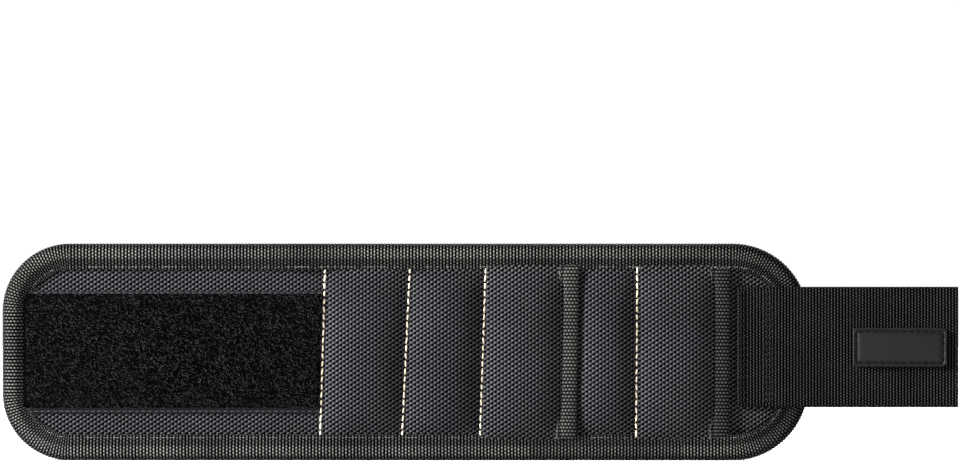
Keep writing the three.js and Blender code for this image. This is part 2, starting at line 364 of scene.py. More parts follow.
def blend_pocket(piece: Piece, low: bool) -> None:
    """Bakes a pocket piece's place into its mesh, without blending it towards the mouth.

    Args:
        piece: A lower or upper piece of the pocket.
        low: True for a lower piece.
    """
    edge = POCKET_REACH if low else LAYOUT.width - POCKET_REACH
    LAYOUT.place((0, 0, edge))
    LAYOUT.place((0, 0, LAYOUT.width / 2))
    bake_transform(piece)


class Graph:
    """Adds linked shader nodes to one material."""

    def __init__(self, tree: bpy.types.NodeTree) -> None:
        """Keeps the tree that nodes are added to."""
        self.tree = tree

    def node(
        self, kind: str, inputs: dict[str | int, object] | None = None, **settings: object,
    ) -> bpy.types.Node:
        """Adds a node.

        Args:
            kind: Blender's name of the node type.
            inputs: Values or sockets for its inputs, by name or number.
            settings: Attributes of the node.

        Returns:
            The node.
        """
        made = self.tree.nodes.new(kind)
        for name, value in settings.items():
            setattr(made, name, value)
        for name, value in (inputs or {}).items():
            self.feed(made.inputs[name], value)
        return made

    def feed(self, socket: Socket, value: object) -> None:
        """Links a socket to an output, or sets its own value.

        Args:
            socket: The input.
            value: An output socket or a plain value.
        """
        if isinstance(value, Socket):
            self.tree.links.new(value, socket)
        else:
            socket.default_value = value

    def math(self, operation: str, first: object, second: object = 0.0) -> Socket:
        """The result of an operation on one or two values."""
        return self.node("ShaderNodeMath", {0: first, 1: second}, operation=operation).outputs[0]

    def plus(self, first: object, second: object) -> Socket:
        """The sum of two values."""
        return self.math("ADD", first, second)

    def times(self, first: object, second: object) -> Socket:
        """The product of two values."""
        return self.math("MULTIPLY", first, second)

    def mix(self, blend: str, share: object, first: object, second: object) -> Socket:
        """Two colours mixed by a share, in one of Blender's ways."""
        inputs = {0: share, MIX_FIRST: first, MIX_SECOND: second}
        return self.node("ShaderNodeMix", inputs, data_type="RGBA", blend_type=blend).outputs[MIX_RESULT]

    def spread(
        self, value: object, low: float, high: float, to_low: float = 0.0, to_high: float = 1.0,
    ) -> Socket:
        """A range of values mapped onto another, and kept inside it."""
        inputs = {"Value": value, "From Min": low, "From Max": high, "To Min": to_low, "To Max": to_high}
        return self.node("ShaderNodeMapRange", inputs).outputs["Result"]

    def cloth(self) -> Socket:
        """The cloth's own flat coordinates, in millimetres."""
        return self.node("ShaderNodeUVMap", uv_map="cloth").outputs["UV"]

    def flat(self) -> tuple[Socket, Socket]:
        """The distances along and across the cloth, in millimetres."""
        split = self.node("ShaderNodeSeparateXYZ", {"Vector": self.cloth()})
        return split.outputs["X"], split.outputs["Y"]

    def noise(self, scale: float, detail: float = 2.0) -> Socket:
        """Noise from about 0 to 1 over the cloth, by lumps per millimetre and finer layers."""
        inputs = {"Vector": self.cloth(), "Scale": scale, "Detail": detail}
        return self.node("ShaderNodeTexNoise", inputs).outputs["Fac"]

    def drift(self, scale: float, reach: float) -> Socket:
        """Noise that strays from 0 to either side, up to a reach."""
        return self.times(self.math("SUBTRACT", self.noise(scale), 0.5), 2 * reach)

    def wave(self, value: object, pitch: float) -> Socket:
        """A sine wave of a pitch, from -1 to 1."""
        return self.math("SINE", self.times(value, math.tau / pitch))


@dataclass(frozen=True)
class Finish(ABC):
    """A material whose raised parts and hollows differ in colour, partly as its own pattern and partly
    as painted shade in the hollows, with bump from the same relief.
    """

    name: str
    colour: Colour
    shade: Colour
    roughness: float = 0.7
    specular: float = 0.4
    metallic: float = 0.0
    bump: float = 0.2
    patch: float = 0.04
    patch_depth: float = 0.25

    @abstractmethod
    def relief(self, graph: Graph) -> Socket:
        """Adds the nodes of the relief, a height from 0 to 1."""

    def material(self) -> bpy.types.Material:
        """Makes the material, or finds it if it is made already.

        Returns:
            The material.
        """
        made = bpy.data.materials.get(self.name)
        if made is not None:
            return made
        made = bpy.data.materials.new(self.name)
        made.use_nodes = True
        graph = Graph(made.node_tree)
        height = self.relief(graph)
        worn = graph.noise(self.patch, FINE_DETAIL)
        # Hollows mix towards the shade colour: partly the cloth's own dark gaps and partly painted
        # shade.
        tone = graph.mix("MIX", height, (*self.shade, 1.0), (*self.colour, 1.0))
        dull = graph.spread(worn, WEAR_LOW, WEAR_HIGH, 1.0 - self.patch_depth, 1.0)
        smoothest, roughest = self.roughness - ROUGH_SPREAD, self.roughness + ROUGH_SPREAD
        bump = {"Strength": 1.0, "Distance": self.bump * MM, "Height": height}
        inputs = {
            "Specular IOR Level": self.specular,
            "Metallic": self.metallic,
            "Base Color": graph.mix("MULTIPLY", 1.0, tone, dull),
            "Roughness": graph.spread(worn, WEAR_LOW, WEAR_HIGH, smoothest, roughest),
            "Normal": graph.node("ShaderNodeBump", bump).outputs["Normal"],
        }
        shader = made.node_tree.nodes["Principled BSDF"]
        for name, value in inputs.items():
            graph.feed(shader.inputs[name], value)
        return made


@dataclass(frozen=True)
class WovenFinish(Finish):
    """Yarns that cross over and under, as staggered beads with small dark holes."""

    bead_length: float = 1.46
    bead_width: float = 0.97
    stray: float = 0.2
    stray_scale: float = 0.35
    twill: float = 0.6
    column: float = 0.25
    open_at: float = -0.35
    shut_at: float = 0.9
    stagger: float = 0.5
    repeat: float = 2.0

    def relief(self, graph: Graph) -> Socket:
        """Adds the beads, with yarns that stray a little.

        Args:
            graph: Where to add them.

        Returns:
            A height from 0 to 1.
        """
        along, across = graph.flat()
        drift = graph.drift(self.stray_scale, self.stray)
        along = graph.times(graph.plus(along, drift), 1 / self.bead_length)
        across = graph.times(graph.plus(across, drift), 1 / self.bead_width)
        rising = graph.wave(graph.plus(graph.math("SUBTRACT", along, across), self.stagger), self.repeat)
        falling = graph.wave(graph.plus(graph.plus(along, across), -self.stagger), self.repeat)
        beads = graph.plus(graph.times(rising, self.twill), graph.times(falling, 1 - self.twill))
        columns = graph.times(graph.wave(along, 1.0), self.column)
        return graph.spread(graph.plus(beads, columns), self.open_at, self.shut_at)


@dataclass(frozen=True)
class Zone:
    """A strip along or across a tape where its ribs have another height than outside it."""

    start: float
    end: float
    share: float
    outside: float
    blur: float

    def add(self, graph: Graph, place: Socket) -> Socket:
        """Adds the nodes of the zone.

        Args:
            graph: Where to add them.
            place: Distance along or across the tape.

        Returns:
            The share of the ribs' full height.
        """
        blur, share, outside = self.blur, self.share, self.outside
        entered = graph.spread(place, self.start - blur, self.start + blur, outside, share)
        left = graph.spread(place, self.end - blur, self.end + blur, share, outside)
        return graph.math("MINIMUM" if share > outside else "MAXIMUM", entered, left)


@dataclass(frozen=True)
class RibbedFinish(Finish):
    """Raised ribs of yarn, each a chain of beads that is staggered against its neighbours."""

    rib: float = 1.4
    bead: float = 1.0
    solid: float = 0.6
    stray: float = 0.1
    stray_scale: float = 0.5
    open_at: float = 0.15
    shut_at: float = 1.0
    highlight_strips: tuple[Zone, Zone] | None = None
    strap_end_shade: Zone | None = None

    def relief(self, graph: Graph) -> Socket:
        """Adds the ribs and their beads, raised and lighter in strips of painted highlight and lowered
        and darker in a stretch of painted shade.

        Args:
            graph: Where to add them.

        Returns:
            A height from 0 to 1.
        """
        along, across = graph.flat()
        drift = graph.drift(self.stray_scale, self.stray)
        ridge = graph.wave(graph.plus(along, drift), 2 * self.rib)
        chain = graph.wave(graph.plus(across, drift), self.bead)
        plain = graph.times(graph.math("ABSOLUTE", ridge), self.solid)
        beads = graph.times(graph.times(ridge, chain), 1 - self.solid)
        height = graph.spread(graph.plus(plain, beads), self.open_at, self.shut_at)
        # Ribs raised and lighter in strips across the tape: painted highlight.
        if self.highlight_strips is not None:
            outer = self.highlight_strips[0].add(graph, graph.times(across, -1.0))
            inner = self.highlight_strips[1].add(graph, across)
            height = graph.times(height, graph.math("MAXIMUM", outer, inner))
        # Ribs lowered and darker along a stretch of the tape: painted shade.
        if self.strap_end_shade is not None:
            height = graph.times(height, self.strap_end_shade.add(graph, along))
        return height


@dataclass(frozen=True)
class GrainFinish(Finish):
    """A fine irregular grain, as of pile, rubber, knit or bare metal."""

    grain: float = 2.0
    low: float = 0.35
    high: float = 0.65

    def relief(self, graph: Graph) -> Socket:
        """Adds the grain, a height from 0 to 1."""
        return graph.spread(graph.noise(self.grain, FINE_DETAIL), self.low, self.high)


@dataclass(frozen=True)
class ThreadFinish(Finish):
    """Twisted sewing thread."""

    twist: float = 0.7
    low: float = -1.0
    high: float = 0.4

    def relief(self, graph: Graph) -> Socket:
        """Adds the slanting plies, a height from 0 to 1."""
        along, across = graph.flat()
        return graph.spread(graph.wave(graph.plus(along, across), self.twist), self.low, self.high)


OXFORD = WovenFinish(
    "oxford_cloth", grey(0.080, 0.087), grey(0.0002, 0.0003), roughness=0.6, specular=0.005, bump=0.55,
)
# The binding's light rib peaks are partly the yarn's own pattern and partly painted highlight for the
# glints of its glossy yarn.
GROSGRAIN = RibbedFinish(
    "ribbed_tape", grey(0.36, 0.34), grey(0.0003), roughness=0.42, specular=0.01, bump=0.85,
    patch_depth=0.4, rib=1.38, bead=1.42, solid=0.77, open_at=0.45,
    # Strips across both legs where the ribs are raised and lighter: painted highlight.
    highlight_strips=(Zone(3.4, 7.4, 0.555, outside=0.2, blur=0.5), Zone(8.0, 11.1, 1.0, outside=0.2, blur=0.5)),
    # Darker stretch round the strap end's arcs: painted shade.
    strap_end_shade=Zone(292.0, 412.0, 0.45, outside=1.0, blur=22.0),
)
MOUTH_TAPE = RibbedFinish(
    "mouth_tape", grey(0.125, 0.119), grey(0.0003), roughness=0.5, specular=0.01, bump=0.4,
    rib=1.44, bead=1.43, solid=0.68, open_at=0.2,
)
DARK_TAPE = replace(MOUTH_TAPE, name="dark_tape", colour=grey(0.066, 0.063))
WEBBING = RibbedFinish(
    "strap_webbing", grey(0.041, 0.039), grey(0.0002), roughness=0.62, specular=0.005, bump=0.45,
    rib=1.29, bead=1.23, solid=0.83, open_at=0.54,
)
ELASTIC = RibbedFinish(
    "ribbed_elastic", (0.027, 0.0265, 0.0315), grey(0.002, 0.0025), roughness=0.6, specular=0.02,
    rib=38.0 / 23, bead=0.9, solid=0.85, stray=0.05, open_at=0.25, shut_at=0.95,
)
KNIT = WovenFinish(
    "mesh_knit", grey(0.098), grey(0.002), specular=0.01, bump=0.4,
    bead_length=0.741, bead_width=0.527, stray=0.15, twill=0.75, column=0.0,
)
# Near-black walls and floors of the mesh's holes: painted shade.
PIT_SHADE = GrainFinish("mesh_pit_shade", grey(0.002), grey(0.0005), roughness=0.9, specular=0.02)
SELVEDGE = WovenFinish(
    "patch_selvedge", grey(0.020, 0.024), grey(0.003, 0.004), roughness=0.65, specular=0.06, bump=0.1,
    bead_length=0.7, bead_width=0.5,
)
# Dark woven edge of the hook patches, and painted shade on the elastic's turned-down end.
DARK_SELVEDGE_AND_HEM_SHADE = replace(SELVEDGE, name="dark_selvedge_and_hem_shade", colour=grey(0.010, 0.0115))
PILE = GrainFinish(
    "loop_pile", grey(0.0030, 0.0035), grey(0.0002), roughness=0.9, specular=0.0, bump=0.35, grain=1.6,
)
# Loose fibres far lighter than the black pile: painted sheen on the black loop fibres.
FIBRE_SHEEN = GrainFinish(
    "loop_fibre_sheen", grey(0.46, 0.49), grey(0.012, 0.013), roughness=0.6, specular=0.01,
    grain=1.1, low=0.44, high=0.74,
)
HOOKS = GrainFinish("hook_bristle", grey(0.085), grey(0.018), roughness=0.45, specular=0.1, grain=1.0)
RUBBER = GrainFinish(
    "moulded_rubber", grey(0.009, 0.010), grey(0.006, 0.007), roughness=0.5, specular=0.12, bump=0.03,
    grain=3.5,
)
NICKEL = GrainFinish(
    "nickel_plate", (0.62, 0.61, 0.58), (0.48, 0.47, 0.45), roughness=0.28, metallic=1.0, bump=0.01,
    grain=1.2,
)
GOLD_THREAD = ThreadFinish(
    "gold_thread", (0.93, 0.88, 0.72), (0.44, 0.31, 0.13), roughness=0.55, specular=0.3, bump=0.08,
)
BLACK_THREAD = ThreadFinish(
    "black_thread", grey(0.085, 0.083), grey(0.012), roughness=0.5, specular=0.2, bump=0.06,
)
# Light grey thread along the binding: painted highlight for the lit lip of the tape's sewn edge.
EDGE_THREAD_HIGHLIGHT = replace(BLACK_THREAD, name="edge_thread_highlight", colour=grey(0.24, 0.23), shade=grey(0.02))
LABEL_THREAD = ThreadFinish(
    "label_thread", grey(0.007), grey(0.002), roughness=0.6, specular=0.05, bump=0.06,
)
PALE_FLOOR = GrainFinish(
    "pale_floor", grey(0.60), grey(0.60), roughness=0.85, specular=0.1, bump=0.0, grain=0.02,
    patch_depth=0.0,
)


@dataclass
class Draft:
    """A mesh being drawn in flat millimetres, with the flat coordinates of its cloth."""

    points: list[Point] = field(default_factory=list)
    cloth: list[tuple[float, float]] = field(default_factory=list)
    faces: list[tuple[int, ...]] = field(default_factory=list)
    coats: list[int] = field(default_factory=list)

    def point(self, knot: Knot) -> int:
        """Adds a point.

        Args:
            knot: Its flat x, y and z, and its cloth u and v.

        Returns:
            Its number.
        """
        self.points.append(knot[:3])
        self.cloth.append(knot[3:])
        return len(self.points) - 1

    def face(self, corners: Sequence[int], coat: int = 0) -> None:
        """Adds a face, with the number of its finish."""
        self.faces.append(tuple(corners))
        self.coats.append(coat)

    def grid(self, rows: Sequence[Sequence[Knot]], coat: int = 0, ring: bool = False) -> list[list[int]]:
        """Adds a grid of four-sided faces.

        Args:
            rows: Rows of points of equal length.
            coat: Number of its finish.
            ring: True if each row closes on itself.

        Returns:
            The numbers of its points, row by row.
        """
        numbers = [[self.point(knot) for knot in row] for row in rows]
        for below, above in zip(numbers, numbers[1:]):
            count = len(below) if ring else len(below) - 1
            for k in range(count):
                after = (k + 1) % len(below)
                self.face((below[k], below[after], above[after], above[k]), coat)
        return numbers

    def solid(self, rings: Sequence[Sequence[Knot]], coat: int = 0) -> None:
        """Adds a closed form through rings of points.

        Args:
            rings: The rings, each with the same number of points.
            coat: Number of its finish.
        """
        numbers = self.grid(rings, coat, ring=True)
        self.face(numbers[0][::-1], coat)
        self.face(numbers[-1], coat)

    def surface(
        self, xs: Sequence[float], zs: Sequence[float], height: Height, coat: int = 0,
        inside: Callable[[float, float], bool] | None = None,
    ) -> None:
        """Adds a surface whose y is given over x and z.

        Args:
            xs: Flat x of its columns.
            zs: Flat z of its rows.
            height: Its y at a place.
            coat: Number of its finish.
            inside: Says whether the face round a place is kept.
        """
        numbers = [[self.point((x, height(x, z), z, x, z)) for x in xs] for z in zs]
        for row, (below, above) in enumerate(zip(numbers, numbers[1:])):
            z = (zs[row] + zs[row + 1]) / 2
            for k in range(len(xs) - 1):
                if inside is None or inside((xs[k] + xs[k + 1]) / 2, z):
                    self.face((below[k], below[k + 1], above[k + 1], above[k]), coat)

    def patch(
        self, box: Box, side: Side, level: float, thickness: float, edge: float, coat: int = 0,
        inset: float = 0.0, step: float = 1.6, relief: Height | None = None,
    ) -> None:
        """Adds a sewn patch that rises from the cloth under it.

        Args:
            box: Its ends and sides.
            side: The way it faces.
            level: Y of the cloth under it.
            thickness: How far it stands up.
            edge: Rounding of its edges.
            coat: Number of its finish.
            inset: Distance that it keeps inside the band's outline, or 0.
            step: Distance between its points.
            relief: Adds to its height at a place.
        """
        def height(x: float, z: float) -> float:
            """Its y at a place, which drops to the cloth along its edges."""
            share = rounded(min(x - box.left, box.right - x, box.from_side(z)) / edge)
            return level + side.value * share * (thickness + (relief(x, z) if relief else 0.0))

        xs = edged_steps(box.left, box.right, step, edge)
        zs = edged_steps(box.bottom, box.top, step, edge)
        self.surface(xs, zs, height, coat, (lambda x, z: LAYOUT.inset(x, z) > inset) if inset else None)

    def tube(self, path: Sequence[Vector], radii: Sequence[float], coat: int, sides: int = 5) -> None:
        """Adds a closed tube along a path.

        Args:
            path: Points along its middle.
            radii: Its radius at each.
            coat: Number of its finish.
            sides: Number of its sides.
        """
        run = (path[-1] - path[0]).normalized()
        first = run.orthogonal().normalized()
        second = run.cross(first)
        rings, along = [], 0.0
        for k, (middle, radius) in enumerate(zip(path, radii)):
            along += (middle - path[k - 1]).length if k else 0.0
            ring = []
            for side in range(sides):
                angle = math.tau * side / sides
                spot = middle + radius * (math.cos(angle) * first + math.sin(angle) * second)
                ring.append((*spot, along, radius * angle))
            rings.append(ring)
        self.solid(rings, coat)

    def between(self, low: float, high: float) -> "Draft":
        """The faces whose middle lies between two lines across the band.

        Args:
            low: Flat x of the first line.
            high: Flat x of the second.

        Returns:
            A draft with only those faces and their points.
        """
        part, numbers = Draft(), {}
        for corners, coat in zip(self.faces, self.coats):
            middle = sum(self.points[c][0] for c in corners) / len(corners)
            if low <= middle < high:
                for corner in corners:
                    if corner not in numbers:
                        numbers[corner] = part.point((*self.points[corner], *self.cloth[corner]))
                part.face([numbers[corner] for corner in corners], coat)
        return part

    def piece(self, name: str, finishes: Sequence[Finish], side: Side | None = None) -> Piece:
        """Makes the object.

        Args:
            name: Its name.
            finishes: Its finishes, in the order of the coats.
            side: The way an open sheet faces, or None for closed forms.

        Returns:
            The object, in the row frame.
        """
        mesh = bpy.data.meshes.new(name)
        mesh.from_pydata([LAYOUT.place(p) for p in self.points], [], self.faces)
        mesh.polygons.foreach_set("material_index", self.coats)
        layer = mesh.uv_layers.new(name="cloth")
        corners = [0] * len(mesh.loops)
        mesh.loops.foreach_get("vertex_index", corners)
        layer.data.foreach_set("uv", [value for c in corners for value in self.cloth[c]])
        work = bmesh.new()
        work.from_mesh(mesh)
        bmesh.ops.recalc_face_normals(work, faces=work.faces)
        if side is not None:
            facing = sum(f.normal.y * f.calc_area() for f in work.faces)
            if facing * side.value < 0:
                bmesh.ops.reverse_faces(work, faces=work.faces)
        for face in work.faces:
            face.smooth = True
        work.to_mesh(mesh)
        work.free()
        for finish in finishes:
            mesh.materials.append(finish.material())
        made = bpy.data.objects.new(name, mesh)
        bpy.context.collection.objects.link(made)
        return made


@dataclass(frozen=True)
class StitchRow:
    """Evenly spaced stitches of sewing thread, each a small arch that dips at both ends."""

    length: float
    gap: float
    thickness: float
    sway: float = 0.1
    lift: float = 0.15
    sunk: float = 0.3
    shares: tuple[float, ...] = (0.0, 0.18, 0.5, 0.82, 1.0)
    taper: tuple[float, ...] = (0.55, 1.0, 1.0, 1.0, 0.55)

    def draw(
        self, draft: Draft, total: float, path: Callable[[float], Point], side: Side,
        coat: int, seed: int,
    ) -> None:
        """Adds a row of stitches along a path.

        Args:
            draft: Where to add it.
            total: Length of the row.
            path: Gives the point at a distance along the row.
            side: The way the cloth faces.
            coat: Number of the thread's finish.
            seed: Start of its random sway.
        """
        chance = random.Random(seed)
        radius = self.thickness / 2
        facing = Vector((0, side.value, 0))
        count = max(1, round(total / (self.length + self.gap)))
        pitch = total / count
        for k in range(count):
            sway = Vector((chance.uniform(-1, 1), 0.0, chance.uniform(-1, 1))) * self.sway
            middles = []
            for share in self.shares:
                spot = path(k * pitch + self.gap / 2 + share * (pitch - self.gap))
                arch = self.lift * math.sin(math.pi * share) - radius * self.sunk
                middles.append(Vector(spot) + arch * facing + (2 * share - 1) * sway)
            draft.tube(middles, [radius * s for s in self.taper], coat)

    def straight(
        self, draft: Draft, first: Point, last: Point, side: Side, coat: int, seed: int,
    ) -> None:
        """Adds a straight row of stitches.

        Args:
            draft: Where to add it.
            first: Its first point.
            last: Its last point.
            side: The way the cloth faces.
            coat: Number of the thread's finish.
            seed: Start of its random sway.
        """
        total = max(abs(b - a) for a, b in zip(first, last))

        def path(s: float) -> Point:
            """The point at a distance along the row."""
            x, y, z = (a + (b - a) * s / total for a, b in zip(first, last))
            return (x, y, z)

        self.draw(draft, total, path, side, coat, seed)


class SubAssembly(ABC):
    """A sewn part of the wristband."""

    @abstractmethod
    def build(self) -> list[Piece]:
        """Builds and dresses the part's pieces."""

    @staticmethod
    def declare(
        piece: Piece, slot: Slot, nodes: Sequence[str] = (), fill: float | None = None,
    ) -> Piece:
        """Hides the CAD nodes that a piece stands for.

        Args:
            piece: The piece.
            slot: Not used.
            nodes: CAD nodes that it stands for.
            fill: Not used.

        Returns:
            The piece.
        """
        if nodes:
            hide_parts(*nodes)
        return piece

    @classmethod
    def fixed(cls, piece: Piece, body: str, slot: Slot, node: str) -> Piece:
        """Fixes a piece to one body, in place of a CAD node."""
        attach(piece, body)
        return cls.declare(piece, slot, [node])

    @classmethod
    def along_band(
        cls, draft: Draft, name: str, finishes: Sequence[Finish], slot: Slot, nodes: Sequence[str],
        side: Side | None = None, fill: float | None = None,
    ) -> list[Piece]:
        """Cuts a layer at the middle of each stage, one piece for each hinge.

        A node belongs to the piece round its own middle, nudged off the cut there.

        Args:
            draft: The whole layer.
            name: Start of the pieces' names.
            finishes: Their finishes.
            slot: Their material slot.
            nodes: CAD nodes that the layer stands for.
            side: The way an open sheet faces.
            fill: How full the layer is, if it is padded.

        Returns:
            The pieces.
        """
        boxes = {node: LAYOUT.box(node) for node in nodes}
        made = []
        for number, span in enumerate(LAYOUT.spans(), 1):
            part = draft.between(span.low, span.high)
            if not part.faces:
                continue
            piece = part.piece(f"{name}_{number}", finishes, side)
            bend(piece, span.first, span.second, span.start, span.end)
            owned = [
                node for node, box in boxes.items()
                if span.low <= (box.left + box.right) / 2 + NUDGE < span.high
            ]
            made.append(cls.declare(piece, slot, owned, fill))
        return made


@dataclass
class EdgeBinding(SubAssembly):
    """Ribbed tape folded over the band's whole edge and sewn through both its legs."""

    width: float = 10.6
    fold: float = 4.6
    crest: float = 0.9
    rib_pitch: float = 1.38
    rib_height: float = 0.28
    steps_per_rib: int = 4
    outer_rise: float = 3.1
    inner_rise: float = 2.8
    level: float = -0.1
    groove: float = 9.5
    groove_depth: float = 0.35
    groove_half: float = 0.6
    lip: float = 0.4
    lip_run: float = 0.6
    slope: float = 1.1
    end_slope: float = -0.9
    end_reach: float = 50.0
    end_run: float = 25.0
    leg_steps: tuple[float, ...] = (0.0, 0.3, 0.6, 1.0, 1.3, 1.5, 1.8, 2.2, 2.8, 3.6, 4.6)
    fold_angles: tuple[float, ...] = (75, 60, 45, 30, 15)
    stitches: StitchRow = StitchRow(length=1.0, gap=0.38, thickness=0.55, sway=0.25)

    def slope_at(self, x: float) -> float:
        """How far the outer leg sinks towards its sewn edge, which rises at the strap's end."""
        share = smooth((x - LAYOUT.length + self.end_reach) / self.end_run)
        return self.slope + (self.end_slope - self.slope) * share

    def rise(self, inset: float, full: float, slope: float) -> float:
        """Height of the tape over the middle of the edge.

        Args:
            inset: Distance in from the edge.
            full: Height of its crest.
            slope: How far it sinks towards its sewn edge.

        Returns:
            The height.
        """
        crest = self.fold * self.crest
        fold = (full + min(slope, 0.0)) * rounded(inset / self.fold)
        sink = slope * smooth((inset - crest) / (self.groove - crest))
        groove = self.groove_depth * math.exp(-(((inset - self.groove) / self.groove_half) ** 2))
        lip = self.lip * smooth((inset - self.width + self.lip_run) / self.lip_run)
        return fold - sink - groove - lip

    def profile(self, slope: float) -> list[tuple[float, float]]:
        """The tape's section, from the outer leg's edge round the fold to the inner leg's edge.

        Args:
            slope: How far the outer leg sinks towards its sewn edge.

        Returns:
            Inset and y of each point.
        """
        insets = [self.width - d for d in self.leg_steps]
        insets += [self.fold * (1 - math.cos(math.radians(a))) for a in self.fold_angles]
        outer = [(d, self.level - self.rise(d, self.outer_rise, slope)) for d in insets]
        inner = [(d, self.level + self.rise(d, self.inner_rise, self.slope)) for d in reversed(insets)]
        return [*outer, (0.0, self.level), *inner]

    @staticmethod
    def swollen(profile: Sequence[tuple[float, float]], swell: float) -> list[Point]:
        """Moves a section outwards, where a rib stands up.

        Args:
            profile: Inset and y of each point.
            swell: How far it moves.

        Returns:
            Inset and y of each moved point, and its distance from the fold along the tape.
        """
        moved, across = [], 0.0
        last = len(profile) - 1
        for k, (inset, y) in enumerate(profile):
            before, after = profile[max(k - 1, 0)], profile[min(k + 1, last)]
            run = math.dist(before, after)
            away, lift = (before[1] - after[1]) / run, (after[0] - before[0]) / run
            across += math.dist(profile[k - 1], profile[k]) if k else 0.0
            moved.append((inset + swell * away, y + swell * lift, across))
        edge = moved[len(profile) // 2][2]
        return [(inset, y, across - edge) for inset, y, across in moved]

    def groove_at(self, s: float, side: Side) -> Point:
        """Where the thread lies in a leg's groove.

        Args:
            s: Distance along the outline.
            side: The leg's side.

        Returns:
            The point.
        """
        x, z, nx, nz = LAYOUT.edge_at(s)
        full, slope = self.inner_rise, self.slope
        if side is Side.OUTER:
            full, slope = self.outer_rise, self.slope_at(x)
        y = self.level + side.value * self.rise(self.groove, full, slope)
        return (x + nx * self.groove, y, z + nz * self.groove)

    def build(self) -> list[Piece]:
        """Sweeps the folded tape round the outline, with its ribs and both stitch rows.

        Returns:
            The pieces.
        """
        total = LAYOUT.edge_length()
        count = round(total / self.rib_pitch) * self.steps_per_rib
        draft, rows = Draft(), []
        for k in range(count + 1):
            x, z, nx, nz = LAYOUT.edge_at(total * k / count)
            along = k * self.rib_pitch / self.steps_per_rib
            swell = self.rib_height * abs(math.sin(math.pi * k / self.steps_per_rib))
            section = self.swollen(self.profile(self.slope_at(x)), swell)
            rows.append([(x + nx * d, y, z + nz * d, along, across) for d, y, across in section])
        draft.grid(rows)
        for side in Side:
            self.stitches.draw(draft, total, lambda s: self.groove_at(s, side), side, 1, seed=3)
        return self.along_band(
            draft, "edge_binding", [GROSGRAIN, EDGE_THREAD_HIGHLIGHT], Slot.TAPE, stage_nodes("binding_"),
        )


@dataclass(frozen=True)
class Seam:
    """A stitch line across the band that leans a little towards the tail at its top."""

    x: float
    lean: float
    dip: float = 0.0
    reach: float = 4.0
    right_reach: float = 1.5

    def at(self, z: float) -> float:
        """Flat x of the line at a height."""
        return self.x + self.lean * (z / LAYOUT.width - 0.5)

    def valley(self, x: float, z: float) -> float:
        """How far the thread pulls the padding in at a place beside the line."""
        gap = self.at(z) - x
        return self.dip * math.exp(-gap / self.reach if gap > 0 else gap / self.right_reach)


SEAMS = [
    Seam(LAYOUT.lines[2], 2.6, dip=1.2, reach=8.0), Seam(LAYOUT.lines[3], 4.2, dip=0.5),
    Seam(LAYOUT.lines[4], 3.0, dip=0.5), Seam(LAYOUT.lines[5], 1.6),
    Seam(LAYOUT.lines[6], 0.6, dip=0.4), Seam(LAYOUT.lines[7], 0.6),
]


